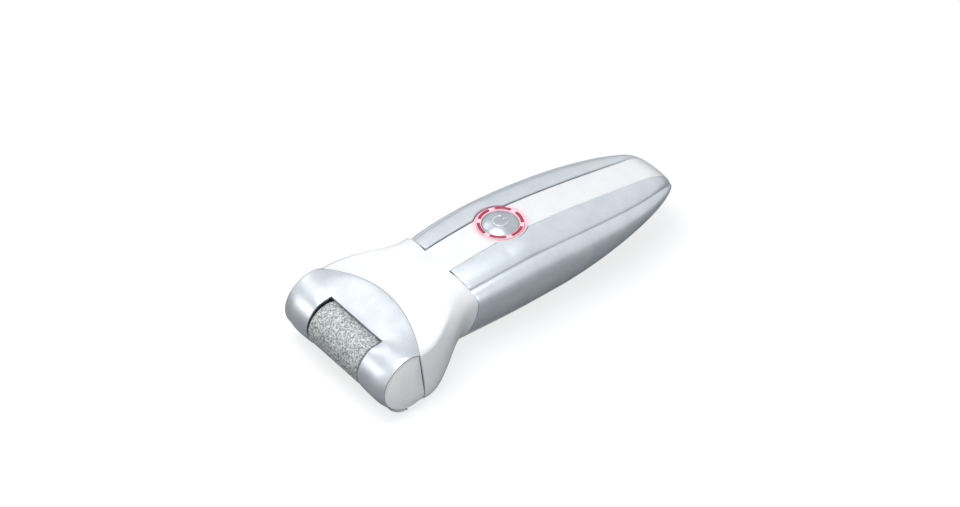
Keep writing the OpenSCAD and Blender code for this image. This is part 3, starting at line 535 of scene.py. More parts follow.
def shell(name, outer, inner, edge_round, keep=lambda i, j: True):
    """A moulded shell from two equal grids of points, solid where keep(i, j); its rim is rounded."""
    rows, cols = len(outer), len(outer[0])
    verts = [Vector(p) * MM for grid in (outer, inner) for row in grid for p in row]

    def index(i, j, k):
        return (k * rows + i) * cols + j

    def on(i, j):
        return 0 <= i < rows - 1 and 0 <= j < cols - 1 and keep(i, j)

    faces = []
    rims = set()
    for i in range(rows - 1):
        for j in range(cols - 1):
            if not on(i, j):
                continue
            for k in (0, 1):
                loop = [index(i, j, k), index(i, j + 1, k), index(i + 1, j + 1, k), index(i + 1, j, k)]
                faces.append(loop if k == 0 else loop[::-1])
            for ni, nj, a, b, c, d in (
                (i - 1, j, i, j, i, j + 1),
                (i, j + 1, i, j + 1, i + 1, j + 1),
                (i + 1, j, i + 1, j + 1, i + 1, j),
                (i, j - 1, i + 1, j, i, j),
            ):
                if not on(ni, nj):
                    faces.append([index(c, d, 0), index(a, b, 0), index(a, b, 1), index(c, d, 1)])
                    rims.add(frozenset((index(a, b, 0), index(c, d, 0))))
    draft = bpy.data.meshes.new(name + "_draft")
    draft.from_pydata(verts, [], faces)
    bm = bmesh.new()
    bm.from_mesh(draft)
    bpy.data.meshes.remove(draft)
    weight = bm.edges.layers.float.new("bevel_weight_edge")
    for e in bm.edges:
        if frozenset((e.verts[0].index, e.verts[1].index)) in rims:
            e[weight] = 1.0
    bmesh.ops.delete(bm, geom=[v for v in bm.verts if not v.link_faces], context="VERTS")
    obj = smooth_object(name, bm)
    bevel = obj.modifiers.new("rounded rim", "BEVEL")
    bevel.limit_method = "WEIGHT"
    bevel.width = edge_round * MM
    bevel.segments = 3
    bevel.use_clamp_overlap = True
    return obj


# A column is (side, v): side is -1 towards -Y and 1 towards +Y.
def over_top(vs):
    return [(-1, v) for v in reversed(vs)] + [(1, v) for v in vs if v > 0]


def under_base(vs):
    return [(1, v) for v in vs] + [(-1, v) for v in reversed(vs[:-1])]


def sided(p, side):
    return (p[0], side * p[1], p[2])


def handle_grid(xs, cols, depth):
    return [[sided(handle_pt(x, v, depth), side) for side, v in cols] for x in xs]


def neck_grid(cols, depth):
    return [[sided(neck_pt(s, v, depth), side) for side, v in cols] for s in NECK_ROWS]


# Rows run along the neck and the handle, closer round the light ring and, by angle, towards the tip.
NECK_ROWS = [NECK_SEAM] + steps(0, 1, 30)[1:]
TAIL_TURNS = (7, 14, 21, 28, 35, 42, 48, 54, 59, 64, 69, 73, 77, 80, 83, 86)
BODY_ROWS = (
    steps(GRIP_X, BUTTON_X - 14, 8)
    + steps(BUTTON_X - 13, BUTTON_X + 13, 26)
    + steps(BUTTON_X + 16, COVER_X1, 16)
    + steps(COVER_X1 + 2, TAIL_X, 3)
    + [TAIL_X + (TIP_X - TAIL_X) * sind(a) for a in TAIL_TURNS]
)
# Columns stand closer at the crease, which keeps it crisp.
GRIP_COLUMNS = (
    [1 + GRIP_SEAM / EDGE_RUN, 1.035]
    + steps(1.08, 1.9, 12)
    + [1.94, 1.97, 1.99, 2.0, 2.006, 2.02, 2.04]
    + steps(2.1, 3, 13)
    + steps(3.08, 3.42, 5)
    + [SPLIT_V - V_GAP]
)
# Columns from the battery cover's edge to the bottom centre
BASE_COLUMNS = steps(3.62, 3.94, 4) + [4, 4.5, 5]


def upper_housing():
    """White shell: the flared neck and the long top panel in one moulding, with the light ring's hole."""
    vs = [0, 0.2, 0.4, 0.6, 0.8, 0.95, 1.0] + steps(1.08, 2, 12) + steps(2.1, 3, 10)
    vs += steps(3.1, 3.4, 3) + [SPLIT_V - V_GAP]
    cols = over_top(vs)
    edge = vs.index(1.0)
    middle = len(vs) - 1
    xs = BODY_ROWS[1:]
    flat = [(side, min(1, v)) for side, v in cols]

    def panel(depth):
        rows = handle_grid(xs, flat, depth)
        drops = [smooth((TIP_X - TAIL_LEVEL - x) / TAIL_RISE) for x in xs]
        return [[sunk(p, 0, drop) for p in row] for drop, row in zip(drops, rows)]

    obj = shell(
        "upper_housing_shell",
        neck_grid(cols, 0) + panel(0),
        neck_grid(cols, WALL) + panel(WALL),
        edge_round=0.22,
        keep=lambda i, j: i < len(NECK_ROWS) - 1 or middle - edge <= j < middle + edge,
    )
    cut(obj, cutter("ring_hole", RING_R + SEAM, BUTTON_X, 0, PANEL_H - 6, PANEL_H + 6))
    return obj


def cutter(name, radius, x, y, z0, z1):
    """An upright round bar from z0 to z1."""
    bm = bmesh.new()
    size = radius * MM
    bmesh.ops.create_cone(
        bm, cap_ends=True, segments=ROUND_STEPS, radius1=size, radius2=size, depth=(z1 - z0) * MM
    )
    bmesh.ops.translate(bm, verts=bm.verts, vec=Vector((x, y, (z0 + z1) / 2)) * MM)
    return bmesh_object(name, bm)


def cut(obj, tool):
    """Cuts the tool out, applies the modifiers and deletes the tool."""
    boolean = obj.modifiers.new("cut", "BOOLEAN")
    boolean.object = tool
    boolean.operation = "DIFFERENCE"
    boolean.solver = "EXACT"
    done = bpy.data.meshes.new_from_object(obj.evaluated_get(bpy.context.evaluated_depsgraph_get()))
    obj.modifiers.clear()
    obj.data = done
    bpy.data.objects.remove(tool)


def grip(side):
    """Silver side grip with its long crease: 1 is the left one and -1 the right one."""
    xs = [GRIP_X + GRIP_SEAM] + BODY_ROWS[1:]
    cols = [(1, v) for v in GRIP_COLUMNS] if side > 0 else [(-1, v) for v in reversed(GRIP_COLUMNS)]
    name = "left_grip_shell" if side > 0 else "right_grip_shell"
    return shell(name, handle_grid(xs, cols, 0), handle_grid(xs, cols, WALL), edge_round=0.3)


def toe(p, e):
    """Carries a point of the neck's front edge forwards under the head; e is 1 at the toe's tip."""
    return (p[0] - TOE_L * e, p[1] * (1 - TOE_NARROW * e), p[2] + TOE_RISE * e * e)


def lower_housing():
    """Bottom shell with the toe under the head, the battery opening and the screw holes."""
    vs = [SPLIT_V + V_GAP, 3.53, COVER_V] + BASE_COLUMNS
    cols = under_base(vs)
    edge = vs.index(COVER_V)

    def row_at(x):
        nearest = min(BODY_ROWS, key=lambda place: abs(place - x))
        return TOE_ROWS + len(NECK_ROWS) - 1 + BODY_ROWS.index(nearest)

    first, last = row_at(COVER_X0), row_at(COVER_X1)

    def grid(depth):
        start = [sided(neck_pt(NECK_SEAM, v, depth), side) for side, v in cols]
        toes = [[toe(p, 1 - i / TOE_ROWS) for p in start] for i in range(TOE_ROWS)]
        return toes + neck_grid(cols, depth) + handle_grid(BODY_ROWS[1:], cols, depth)

    def beside_cover(i, j):
        return i < first or i >= last or j < edge or j >= len(cols) - 1 - edge

    obj = shell("lower_housing_shell", grid(0), grid(WALL), edge_round=0.2, keep=beside_cover)
    for x, reach in SCREW_PAIRS:
        for y in (-reach, reach):
            cut(obj, cutter("screw_seat", SEAT_R, x, y, -1, SEAT_DEPTH))
            cut(obj, cutter("screw_hole", HOLE_R, x, y, -1, HOLE_DEPTH))
    return obj


def battery_cover():
    """Cover of the battery opening, which carries on the lower housing's surface."""
    inside = [x for x in BODY_ROWS if COVER_X0 + 2 * SEAM < x < COVER_X1 - 2 * SEAM]
    xs = [COVER_X0 + SEAM] + inside + [COVER_X1 - SEAM]
    cols = under_base([COVER_V + COVER_V_GAP] + BASE_COLUMNS)
    inner = handle_grid(xs, cols, COVER_WALL)
    return shell("battery_cover_shell", handle_grid(xs, cols, 0), inner, edge_round=0.25)


def head_bezel():
    """Silver bezel: a lobe either side of the roller's window."""
    # Columns stand closer where the lobes rise from the window and where they fall to the rim.
    bridge, up, window, foot = 4, 14, 46, 6
    half = steps(0, WINDOW_HW, bridge)
    half += [WINDOW_HW + d for d in (0.25, 0.6, 1.1, 1.8, 2.6, 3.6, 4.8, 6.2, 7.7)]
    half += [LOBE_Y + d for d in (0, 1.1, 2.2, 3.2, 4.1, 4.9, 5.5, 6.0, 6.4, 6.7)] + [RIM_Y]
    middle = len(half) - 1
    ys = [-y for y in reversed(half)] + half[1:]

    def row(y, depth):
        fs = steps(part_polar(y)[1], WINDOW_F, up)[:-1]
        fs += steps(WINDOW_F, LIP_F, window) + steps(LIP_F, FOOT_F, foot)[1:]
        return [bezel_pt(y, f, depth) for f in fs]

    def round_window(i, j):
        return j < up or j >= up + window or i < middle - bridge or i >= middle + bridge

    outer = [row(y, 0) for y in ys]
    inner = [row(y, mix(BEZEL_T, RIM_T, at_rim(y))) for y in ys]
    return shell("head_bezel_shell", outer, inner, edge_round=0.25, keep=round_window)


def leaf_outline():
    """The end disc, cut along the neck's edge, with rounded corners; points run round it."""
    corner, corner_run = 0.35, 0.5
    points = []
    for a in turns(180):
        x, z = DISC_X + DISC_R * math.cos(a), DISC_Z + DISC_R * math.sin(a)
        limit = side_x(z) - LEAF_GAP
        past = x - limit
        if past > -1.6:
            x = min(x, limit - corner * math.exp(-abs(past) / corner_run))
        points.append((x, z))
    return points


def leaf(name, side):
    """Domed end cap with a rolled edge: its rings shrink towards its middle."""
    # Each ring is (inset, height), first round the hidden back, then over the rolled edge and the dome.
    edge, roll, rise = -1.95, 0.4, 1.65
    profile = [(0.6, -2.6), (0.05, -2.4), (0, edge)]
    profile += [(roll * (1 - cosd(a)), edge + roll * sind(a)) for a in steps(0, 60, 5)[1:]]
    insets = (0.5, 0.9, 1.5, 2.2, 3, 4, 5, 6, 7, 8, 9.5, 11, 12.5)
    profile += [(d, 0.02 - rise * (1 - d / DISC_R) ** 3) for d in insets]
    outline = leaf_outline()
    cx = sum(x for x, z in outline) / len(outline)
    cz = sum(z for x, z in outline) / len(outline)
    reach = max(math.hypot(x - cx, z - cz) for x, z in outline)
    bm = bmesh.new()
    rings = []
    for inset, height in profile:
        k = 1 - inset / reach
        y = side * (HEAD_Y - LEAF_GAP + height)
        rings.append([vertex(bm, cx + (x - cx) * k, y, cz + (z - cz) * k) for x, z in outline])
    join_rings(bm, rings)
    cap_ends(bm, rings)
    return smooth_object(name, bm)


def revolve(name, profile):
    """Turns (radius, height) points about the upright axis of the power button."""
    bm = bmesh.new()
    rings = []
    for r, h in profile:
        around = turns(ROUND_STEPS) if r > 0 else [0]
        rings.append([vertex(bm, r * math.cos(a), r * math.sin(a), h) for a in around])
    join_rings(bm, rings)
    bmesh.ops.translate(bm, verts=bm.verts, vec=Vector((BUTTON_X, 0, RING_Z)) * MM)
    return smooth_object(name, bm)


def rounded(points, radius, n):
    """Rounds the corners of an open (radius, height) profile."""
    out = [points[0]]
    for p, q, r in zip(points, points[1:], points[2:]):
        a, b = Vector(p) - Vector(q), Vector(r) - Vector(q)
        k = min(radius, a.length / 2.2, b.length / 2.2)
        start, end = Vector(q) + a.normalized() * k, Vector(q) + b.normalized() * k
        for t in steps(0, 1, n):
            out.append(tuple((1 - t) ** 2 * start + 2 * t * (1 - t) * Vector(q) + t * t * end))
    return out + [points[-1]]


def grit_roller():
    """Sleeve of bonded grit: a fine grid whose radius varies from grain to grain."""
    rnd = random.Random(7)
    around, along = 300, 150
    r = ROLLER_D / 2
    tip = -ROLLER_L / 2
    # Each point is (place along the axis, radius): a round shoulder at each end, and a straight body.
    shoulder = [(0, 1.6), (0.3, 1.5), (0.6, 0.9), (0.8, 0.3), (0.95, 0.11)]
    front = [(tip + step, r - drop) for step, drop in shoulder]
    body = [(y, r) for y in steps(tip + 1.1, -tip - 1.1, along)]
    back = [(-y, radius) for y, radius in reversed(front)]
    bm = bmesh.new()
    rings = []
    for y, radius in front + body + back:
        ring = []
        for a in turns(around):
            grain = GRAIN_DEPTH * rnd.random() ** 2 if radius > r - 0.2 else 0
            q = radius - grain - 0.01
            ring.append(vertex(bm, ROLLER_X + q * math.cos(a), y, ROLLER_Z + q * math.sin(a)))
        rings.append(ring)
    join_rings(bm, rings + rings[:1])
    return smooth_object("grit_sleeve", bm)


def dome(r):
    """Height of the button's crown over the ring: it falls more steeply towards its edge."""
    return BUTTON_RISE - BUTTON_FALL * (r / BUTTON_R) ** BUTTON_POWER


def power_button():
    # Each point is (radius, height over the ring): stem, flange, skirt, round edge and crown.
    stem, flange, skirt = 2.4, BUTTON_R + 0.75, BUTTON_R - 0.05
    profile = [(0, -3.2), (stem, -3.2), (stem, -2.85), (flange, -2.85), (flange, -2.05), (skirt, -2.05)]
    profile += [(BUTTON_R - 0.3 + 0.25 * cosd(a), -0.85 + 0.3 * sind(a)) for a in steps(0, 60, 5)]
    profile += [(r, dome(r)) for r in (7.4, 7.1, 6.7, 6.2, 5.6, 5, 4, 3, 2, 1, 0)]
    return revolve("power_button_cap", profile)


def light_ring():
    """The ring's section goes once round, from the seat of the button's flange and back to it."""
    bore, seat, flange = BUTTON_R + 0.17, BUTTON_R + 1.02, RING_R + 1.25
    section = [(seat, -4.1), (flange, -4.1), (flange, -3.36), (RING_R, -3.36), (RING_R, -0.02)]
    section += [(bore, -0.12), (bore, -1.8), (seat, -1.8), (seat, -4.1)]
    return revolve("light_ring_guide", rounded(section, 0.25, 4))


def ring_windows():
    """Curved lenses let into the ring, each one narrower and flat at its two ends."""
    # Each point is (radius, height over the ring); reach is half the angle that a lens spans.
    section = [(8.4, -0.6), (8.4, 0.0), (8.5, 0.1), (9.1, 0.16), (9.65, 0.1), (9.76, 0.0), (9.76, -0.6)]
    middle, reach = 9.1, 22
    bm = bmesh.new()
    for k in range(WINDOW_N):
        rings = []
        for a in steps(-reach, reach, 16):
            at_end = abs(a) == reach
            turn = math.radians(45 + 360 / WINDOW_N * k + a)
            ring = []
            for r, h in section:
                q = mix(middle, r, 0.75) if at_end else r
                z = RING_Z + (min(h, 0.02) if at_end else h)
                ring.append(vertex(bm, BUTTON_X + q * math.cos(turn), q * math.sin(turn), z))
            rings.append(ring)
        join_rings(bm, rings)
        cap_ends(bm, rings)
    return smooth_object("ring_window_lenses", bm)


def cover_finger_ribs():
    """Finger ribs near the rear edge of the battery cover, each one shorter, with rounded ends."""
    count, spacing, radius, sunk_by = 5, 1.9, 0.42, 0.05
    bm = bmesh.new()
    for k in range(count):
        x = COVER_X1 - 4.2 - spacing * k
        reach = 9.0 - 0.9 * k
        flat = handle_yz(x, 4)[0]
        rings = []
        for y in steps(-reach, reach, 24):
            # Beyond the flat base the rib climbs with the section; one step of v is 14 mm there.
            v = 4 - max(0.0, abs(y) - flat) / 14
            z = handle_yz(x, v)[1] + sunk_by
            r = radius * math.sqrt(max(0.05, 1 - (abs(y) / (reach + 0.4)) ** 8))
            rings.append([vertex(bm, x + r * math.cos(a), y, z + r * math.sin(a)) for a in turns(12)])
        join_rings(bm, rings)
        cap_ends(bm, rings)
    return smooth_object("cover_finger_ribs", bm)


def power_symbol():
    """Raised on-off symbol on the crown of the button: an open ring and a stroke."""
    radius, half_width, height = 3.1, 0.32, 0.13
    open_ring = [(radius * cosd(a), radius * sind(a)) for a in steps(40, 320, 40)]
    stroke = [(x, 0.0) for x in steps(1.3, 4.3, 8)]
    bm = bmesh.new()
    for path in (open_ring, stroke):
        rings = []
        for i, p in enumerate(path):
            along = Vector(path[min(len(path) - 1, i + 1)]) - Vector(path[max(0, i - 1)])
            across = Vector((-along.y, along.x)).normalized()
            size = 0.75 if i in (0, len(path) - 1) else 1.0
            z = RING_Z + dome(math.hypot(*p))
            ring = []
            for a in turns(10):
                c = Vector(p) + across * half_width * size * math.cos(a)
                ring.append(vertex(bm, BUTTON_X + c.x, c.y, z + height * size * math.sin(a)))
            rings.append(ring)
        join_rings(bm, rings)
        cap_ends(bm, rings)
    return smooth_object("power_symbol", bm)


# ---------------------------------------------------------------- materials
# Sockets of a Mix node in colour mode: its names repeat, so they go by number.
SHARE_IN, COLOUR_A, COLOUR_B, COLOUR_OUT = 0, 6, 7, 2


def colour(code):
    """sRGB hex to the linear values that the shaders take."""
    parts = [int(code[i:i + 2], 16) / 255 for i in (1, 3, 5)]
    return tuple(c / 12.92 if c < 0.04045 else ((c + 0.055) / 1.055) ** 2.4 for c in parts) + (1.0,)


def add(tree, kind, links=(), **values):
    """Adds a node: links are (socket, source), values set inputs by name or plain attributes."""
    n = tree.nodes.new(kind)
    for key, value in values.items():
        if hasattr(n, key) and not key[0].isupper():
            setattr(n, key, value)
        else:
            n.inputs[key.replace("_", " ")].default_value = value
    for socket, source in links:
        tree.links.new(source, n.inputs[socket])
    return n


def per_mm(size):
    """The scale that gives a pattern this many millimetres across."""
    return 1 / (size * MM)


def finish_of(name, **settings):
    m = bpy.data.materials.new(name)
    m.use_nodes = True
    tree = m.node_tree
    shader = tree.nodes["Principled BSDF"]
    for key, value in settings.items():
        shader.inputs[key.replace("_", " ")].default_value = value
    where = add(tree, "ShaderNodeTexCoord").outputs["Object"]
    return m, tree, shader, where


def set_range(node, low, high, end="To"):
    node.inputs[end + " Min"].default_value = low
    node.inputs[end + " Max"].default_value = high


def emboss(tree, shader, pattern, lift_mm, invert=False):
    """Lifts the surface by a pattern."""
    bump = add(tree, "ShaderNodeBump", [("Height", pattern)], Strength=1.0, Distance=lift_mm * MM)
    bump.invert = invert
    tree.links.new(bump.outputs["Normal"], shader.inputs["Normal"])


def shade_and_grain(tree, shader, where, dark, light, tone_mm, rough, grain_mm, lift_mm):
    """Colour drifts between two tones, roughness varies, and a fine grain lifts the surface.

    tone_mm and grain_mm are the patterns' sizes. Returns the drifting colour.
    """
    tone = add(tree, "ShaderNodeTexNoise", [("Vector", where)], Scale=per_mm(tone_mm), Detail=3.0)
    ramp = add(tree, "ShaderNodeValToRGB", [("Fac", tone.outputs["Fac"])])
    for stop, place, code in zip(ramp.color_ramp.elements, (0.3, 0.7), (dark, light)):
        stop.position = place
        stop.color = colour(code)
    tree.links.new(ramp.outputs["Color"], shader.inputs["Base Color"])
    spread = add(tree, "ShaderNodeMapRange", [("Value", tone.outputs["Fac"])])
    set_range(spread, *rough)
    tree.links.new(spread.outputs["Result"], shader.inputs["Roughness"])
    grain = add(tree, "ShaderNodeTexNoise", [("Vector", where)], Scale=per_mm(grain_mm), Detail=2.0)
    emboss(tree, shader, grain.outputs["Fac"], lift_mm)
    return ramp.outputs["Color"]


def white_abs():
    # Glossy injection-moulded ABS: a faint cool cast, and a slight orange peel that softens reflections.
    m, tree, shader, where = finish_of("white_abs_moulded_gloss", IOR=1.53)
    tones = shade_and_grain(
        tree, shader, where, "#F0F2F5", "#F6F7F9", tone_mm=9, rough=(0.22, 0.28), grain_mm=1.4, lift_mm=0.003
    )
    # Painted glow: near the ring the white base colour turns pink, standing for the light of the ring's
    # lamps shining through the wall.
    reach = add(tree, "ShaderNodeVectorMath", [(0, where)], operation="DISTANCE")
    reach.inputs[1].default_value = (BUTTON_X * MM, 0, RING_Z * MM)
    near = add(tree, "ShaderNodeMapRange", [("Value", reach.outputs["Value"])])
    near.interpolation_type = "SMOOTHSTEP"
    set_range(near, RING_R * MM, (RING_R + 3.5) * MM, "From")
    set_range(near, 0.75, 0.0)
    sources = [(SHARE_IN, near.outputs["Result"]), (COLOUR_A, tones)]
    painted_glow = add(tree, "ShaderNodeMix", sources, data_type="RGBA")
    painted_glow.inputs[COLOUR_B].default_value = colour("#FBC6D2")
    tree.links.new(painted_glow.outputs[COLOUR_OUT], shader.inputs["Base Color"])
    return m


def silver_lacquer(name, dark, light, rough, metallic):
    # Silver lacquer sprayed over moulded plastic: aluminium flake under a clear coat, soft with a fine
    # sparkle. Real flakes are too fine to show, so these are 0.22 mm.
    m, tree, shader, where = finish_of(name, Metallic=metallic, Coat_Weight=0.15, Coat_Roughness=0.2)
    tones = shade_and_grain(tree, shader, where, dark, light, 7, rough, grain_mm=1.1, lift_mm=0.003)
    flake = add(tree, "ShaderNodeTexVoronoi", [("Vector", where)], Scale=per_mm(0.22))
    glint = add(tree, "ShaderNodeMapRange", [("Value", flake.outputs["Color"])])
    set_range(glint, 0.93, 1.07)
    sources = [(COLOUR_A, tones), (COLOUR_B, glint.outputs["Result"])]
    flaked = add(tree, "ShaderNodeMix", sources, data_type="RGBA", blend_type="MULTIPLY")
    flaked.inputs[SHARE_IN].default_value = 1.0
    tree.links.new(flaked.outputs[COLOUR_OUT], shader.inputs["Base Color"])
    return m


def mineral_grit():
    # Bonded aluminium oxide grit: grey grains of many tones between dark bond, and a few pure white grains
    # painted in as glints of their facets.
    # The grains are drawn coarse, 0.55 mm across, so that they show.
    m, tree, shader, where = finish_of("bonded_mineral_grit", Roughness=0.5, Metallic=0.3)
    grain = add(tree, "ShaderNodeTexVoronoi", [("Vector", where)], Scale=per_mm(0.55))
    ramp = add(tree, "ShaderNodeValToRGB", [("Fac", grain.outputs["Color"])])
    stops = ramp.color_ramp.elements
    for stop, place, code in zip(stops, (0.1, 0.9), ("#6C7274", "#DADDDD")):
        stop.position = place
        stop.color = colour(code)
    # Painted glints: the last few grains turn pure white.
    stops.new(0.97).color = colour("#FFFFFF")
    tree.links.new(ramp.outputs["Color"], shader.inputs["Base Color"])
    emboss(tree, shader, grain.outputs["Distance"], 0.12, invert=True)
    return m


def frosted_guide():
    # Frosted acrylic light guide: milky, and tinted pink by the lamps under it.
    m, tree, shader, where = finish_of("frosted_acrylic_guide", IOR=1.49, Transmission_Weight=0.25)
    shader.inputs["Subsurface Weight"].default_value = 0.3
    shader.inputs["Subsurface Radius"].default_value = (2 * MM, 1 * MM, 1 * MM)
    shader.inputs["Subsurface Scale"].default_value = 1.0
    shade_and_grain(
        tree, shader, where, "#EBD3DC", "#F5E4EA", tone_mm=3, rough=(0.30, 0.38), grain_mm=0.4, lift_mm=0.004
    )
    glow = add(tree, "ShaderNodeTexNoise", [("Vector", where)], Scale=per_mm(6))
    warm = add(tree, "ShaderNodeValToRGB", [("Fac", glow.outputs["Fac"])])
    warm.color_ramp.elements[0].color = colour("#D98CA6")
    warm.color_ramp.elements[1].color = colour("#E7A9BC")
    tree.links.new(warm.outputs["Color"], shader.inputs["Emission Color"])
    shader.inputs["Emission Strength"].default_value = 0.25
    return m


def red_lens():
    # Red-tinted moulded polycarbonate: deep colour with a little light of its own.
    m, tree, shader, where = finish_of("red_polycarbonate_lens", IOR=1.58, Emission_Strength=0.15)
    tones = shade_and_grain(
        tree, shader, where, "#8E1A3C", "#A82749", tone_mm=2, rough=(0.22, 0.30), grain_mm=0.5, lift_mm=0.002
    )
    tree.links.new(tones, shader.inputs["Emission Color"])
    return m


def moulded(name, dark, light, rough, grain_mm=0.3, lift_mm=0.006):
    # Plain moulded plastic with the fine spark-eroded texture of its tool.
    m, tree, shader, where = finish_of(name, IOR=1.5)
    shade_and_grain(tree, shader, where, dark, light, 5, rough, grain_mm, lift_mm)
    return m


def metal(name, dark, light, rough, stretch, grain_mm=0.12, lift_mm=0.002):
    # Drawn, turned or ground metal: fine lines run along one direction of the piece.
    m, tree, shader, where = finish_of(name, Metallic=1.0)
    lines = add(tree, "ShaderNodeMapping", [("Vector", where)], Scale=stretch)
    shade_and_grain(tree, shader, lines.outputs["Vector"], dark, light, 3, rough, grain_mm, lift_mm)
    return m


def board_laminate():
    # Green solder mask over glass laminate: copper tracks show as paler lines beneath it.
    m, tree, shader, where = finish_of("solder_mask_laminate", IOR=1.5, Coat_Weight=0.4)
    shade_and_grain(
        tree, shader, where, "#0F4A2C", "#16593A", tone_mm=4, rough=(0.25, 0.4), grain_mm=0.2, lift_mm=0.002
    )
    tracks = add(tree, "ShaderNodeTexBrick", [("Vector", where)], Scale=per_mm(8), Mortar_Size=0.03)
    tracks.inputs["Color1"].default_value = colour("#0F4A2C")
    tracks.inputs["Color2"].default_value = colour("#124F31")
    tracks.inputs["Mortar"].default_value = colour("#2E8A5C")
    tree.links.new(tracks.outputs["Color"], shader.inputs["Base Color"])
    return m


# How a metal's grain is stretched: not at all, along the roller's axis, or upwards
EVEN = (1.0, 1.0, 1.0)
ALONG_Y = (1.0, 0.06, 1.0)
ALONG_Z = (1.0, 1.0, 0.08)
finishes = {
    "white_shell": white_abs(),
    "silver_grip": silver_lacquer("silver_lacquer_satin", "#CAD1D9", "#D3DAE1", (0.35, 0.43), 0.6),
    "silver_bezel": silver_lacquer("silver_lacquer_bezel", "#C2C8CF", "#CCD2D9", (0.31, 0.38), 0.7),
    # The end caps' lacquer is near white and nearly without metal: partly a paler finish, partly painted
    # light that makes up for the shade on the head's ends.
    "satin_cap": silver_lacquer("silver_lacquer_cap", "#F6F8F9", "#FBFCFC", (0.28, 0.36), 0.05),
    "silver_button": silver_lacquer("silver_lacquer_gloss", "#A9B0B8", "#B5BCC3", (0.24, 0.32), 0.75),
    "clear_ring": frosted_guide(),
    "red_window": red_lens(),
    "led_resin": moulded("clear_led_resin", "#E9C9CE", "#F3D6DA", (0.15, 0.22)),
    "mineral_grit": mineral_grit(),
    "dark_plastic": moulded("black_pom_moulded", "#2B2D30", "#34373A", (0.42, 0.55)),
    "sheet_steel": metal("zinc_plated_sheet", "#AEB1B3", "#C2C4C6", (0.28, 0.42), ALONG_Z),
    "bronze": metal("sintered_bronze", "#A97F4C", "#BE945C", (0.40, 0.52), EVEN, 0.15, 0.006),
    "acetal": moulded("natural_acetal_moulded", "#E4E1D8", "#EFECE4", (0.35, 0.45)),
    "pin_steel": metal("ground_steel", "#B4B6B8", "#C6C8CA", (0.16, 0.24), ALONG_Y),
    "pin_brass": metal("turned_brass", "#C3A258", "#D4B66C", (0.22, 0.32), EVEN),
    "motor_steel": metal("drawn_can_steel", "#A3A6A9", "#B4B7BA", (0.30, 0.42), ALONG_Y),
    "spring_steel": metal("drawn_spring_wire", "#94979B", "#A8ABAE", (0.26, 0.36), EVEN),
    "board_laminate": board_laminate(),
    "cell_sleeve": moulded("shrunk_cell_sleeve", "#2C3A4C", "#35465B", (0.22, 0.32), 1.5, 0.01),
    "contact_nickel": metal("nickel_plated_strip", "#BFBDB4", "#D1CFC7", (0.20, 0.32), EVEN),
    "wire_jacket": moulded("extruded_wire_jacket", "#8E1F1F", "#A32727", (0.38, 0.48)),
    "screw_steel": metal("zinc_plated_screw", "#9DA0A3", "#B1B4B6", (0.28, 0.40), EVEN),
}

slot_of = {part["node"]: part["material_slot"] for part in frame["record"]["subparts"]}
for name, obj in frame["nodes"].items():
    obj.data.materials.clear()
    obj.data.materials.append(finishes[slot_of[name]])


def dress(obj, body, node=None, slot=None):
    """Gives a piece its finish and its body, and hides the solid that it stands for."""
    chosen = slot or slot_of[node]
    obj.data.materials.clear()
    obj.data.materials.append(finishes[chosen])
    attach(obj, body)
    if node:
        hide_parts(node)


dress(upper_housing(), "housing", "upper_housing")
dress(lower_housing(), "housing", "lower_housing")
dress(grip(1), "housing", "left_grip")
dress(grip(-1), "housing", "right_grip")
dress(head_bezel(), "housing", "head_bezel")
dress(battery_cover(), "cover", "battery_cover")
dress(cover_finger_ribs(), "cover", slot="white_shell")
dress(leaf("drive_cap_pad", 1), "housing", "drive_side_cap")
dress(leaf("release_button_pad", -1), "release_key", "release_button")
dress(grit_roller(), "roller", "abrasive_sleeve")
dress(power_button(), "power_key", "power_button")
dress(power_symbol(), "power_key", slot="silver_grip")
dress(light_ring(), "housing", "light_ring")
dress(ring_windows(), "housing", "ring_windows")

# ---------------------------------------------------------------- studio
# The floor's own tone, and the light that the camera sees added to it
FLOOR_TONE = "#9A9C9E"
FLOOR_LIFT = 0.72
# Just below the rest plane, in metres
FLOOR_Z = -0.0002
# Direction of the sky's brightest side
BRIGHT_SIDE = (-0.28, 0.32, 0.9)
# The camera: turn from the front and height in degrees, distance in metres, lens in millimetres
CAMERA_TURN = -38.148
CAMERA_RISE = 42.0
CAMERA_REACH = 2.5
CAMERA_LENS = 226.3421
# The point that the camera aims at, and how far left and up of it the view's middle lies, in millimetres
AIM = (2.5, 0, 15.0)
AIM_LEFT = 9.92
AIM_UP = 5.0


def lamp(name, place, aim, size, power):
    """A soft box: place, aim and size in metres, power in watts."""
    data = bpy.data.lights.new(name, "AREA")
    data.shape = "RECTANGLE"
    data.size, data.size_y = size
    data.energy = power
    obj = new_object(name, data)
    obj.location = place
    obj.rotation_euler = (Vector(aim) - Vector(place)).to_track_quat("-Z", "Y").to_euler()


def floor():
    """A pale floor that keeps the object's shadow and reads as white elsewhere."""
    bm = bmesh.new()
    bmesh.ops.create_grid(bm, x_segments=1, y_segments=1, size=3.0)
    obj = bmesh_object("floor", bm)
    m = bpy.data.materials.new("matt_white_floor")
    m.use_nodes = True
    tree = m.node_tree
    tree.nodes.clear()
    seen = add(tree, "ShaderNodeLightPath")
    paper = add(tree, "ShaderNodeBsdfDiffuse", Color=colour(FLOOR_TONE))
    lift = add(tree, "ShaderNodeMath", [(0, seen.outputs["Is Camera Ray"])], operation="MULTIPLY")
    lift.inputs[1].default_value = FLOOR_LIFT
    glow = add(tree, "ShaderNodeEmission", [("Strength", lift.outputs[0])])
    lifted = add(tree, "ShaderNodeAddShader", [(0, paper.outputs[0]), (1, glow.outputs[0])])
    add(tree, "ShaderNodeOutputMaterial", [("Surface", lifted.outputs[0])])
    obj.data.materials.append(m)
    obj.location.z = FLOOR_Z


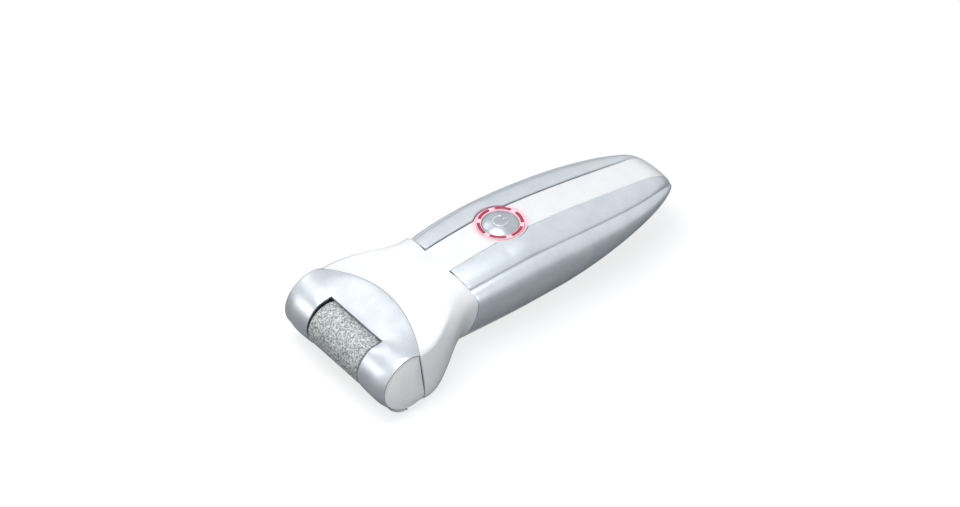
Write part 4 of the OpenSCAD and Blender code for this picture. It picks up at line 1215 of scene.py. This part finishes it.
def sky(level):
    """White where it is seen directly, in gloss or through glass, and a soft dome of light elsewhere."""
    world = bpy.data.worlds.new("studio")
    bpy.context.scene.world = world
    world.use_nodes = True
    tree = world.node_tree
    tree.nodes.clear()
    seen = add(tree, "ShaderNodeLightPath").outputs
    where = add(tree, "ShaderNodeTexCoord").outputs["Generated"]
    side = add(tree, "ShaderNodeVectorMath", [(0, where)], operation="DOT_PRODUCT")
    side.inputs[1].default_value = Vector(BRIGHT_SIDE).normalized()
    share = add(tree, "ShaderNodeMapRange", [("Value", side.outputs["Value"])])
    set_range(share, -0.5, 1.0, "From")
    ramp = add(tree, "ShaderNodeValToRGB", [("Fac", share.outputs["Result"])])
    ramp.color_ramp.elements[0].color = colour("#3A4450")
    ramp.color_ramp.elements[1].color = colour("#FFFFFF")
    dim = add(tree, "ShaderNodeBackground", [("Color", ramp.outputs["Color"])], Strength=level)
    white = add(tree, "ShaderNodeBackground", Color=colour("#FFFFFF"), Strength=1.0)
    shown = seen["Is Camera Ray"]
    for ray in ("Is Glossy Ray", "Is Transmission Ray"):
        shown = add(tree, "ShaderNodeMath", [(0, shown), (1, seen[ray])], operation="MAXIMUM").outputs[0]
    pick = add(tree, "ShaderNodeMixShader", [(0, shown), (1, dim.outputs[0]), (2, white.outputs[0])])
    add(tree, "ShaderNodeOutputWorld", [("Surface", pick.outputs[0])])


def camera():
    """A long lens from in front of the head, to its right and above."""
    right = Vector((cosd(CAMERA_TURN), sind(CAMERA_TURN), 0))
    flat = cosd(CAMERA_RISE)
    back = Vector((sind(CAMERA_TURN) * flat, -cosd(CAMERA_TURN) * flat, sind(CAMERA_RISE)))
    up = back.cross(right)
    aim = Vector(AIM) * MM - right * AIM_LEFT * MM + up * AIM_UP * MM
    data = bpy.data.cameras.new("camera")
    data.lens = CAMERA_LENS
    data.sensor_width = 36
    data.clip_start = 0.1
    data.clip_end = 20
    obj = new_object("camera", data)
    turn = Matrix((right, up, back)).transposed().to_4x4()
    obj.matrix_world = Matrix.Translation(aim + back * CAMERA_REACH) @ turn
    bpy.context.scene.camera = obj


floor()
sky(0.55)
lamp("overhead_softbox", (-0.22, 0.02, 1.1), (0.02, 0, 0), (0.7, 0.6), 6.2)
lamp("back_softbox", (-0.1, 0.85, 0.8), (0, 0, 0), (0.5, 0.4), 1.0)
lamp("near_softbox", (-0.35, -0.8, 0.45), (0, 0, 0), (0.7, 0.4), 2.8)
lamp("front_left_softbox", (-0.85, 0.5, 0.38), (-0.06, 0, 0.01), (0.34, 0.34), 1.0)
camera()
bpy.context.scene.view_settings.view_transform = "Standard"
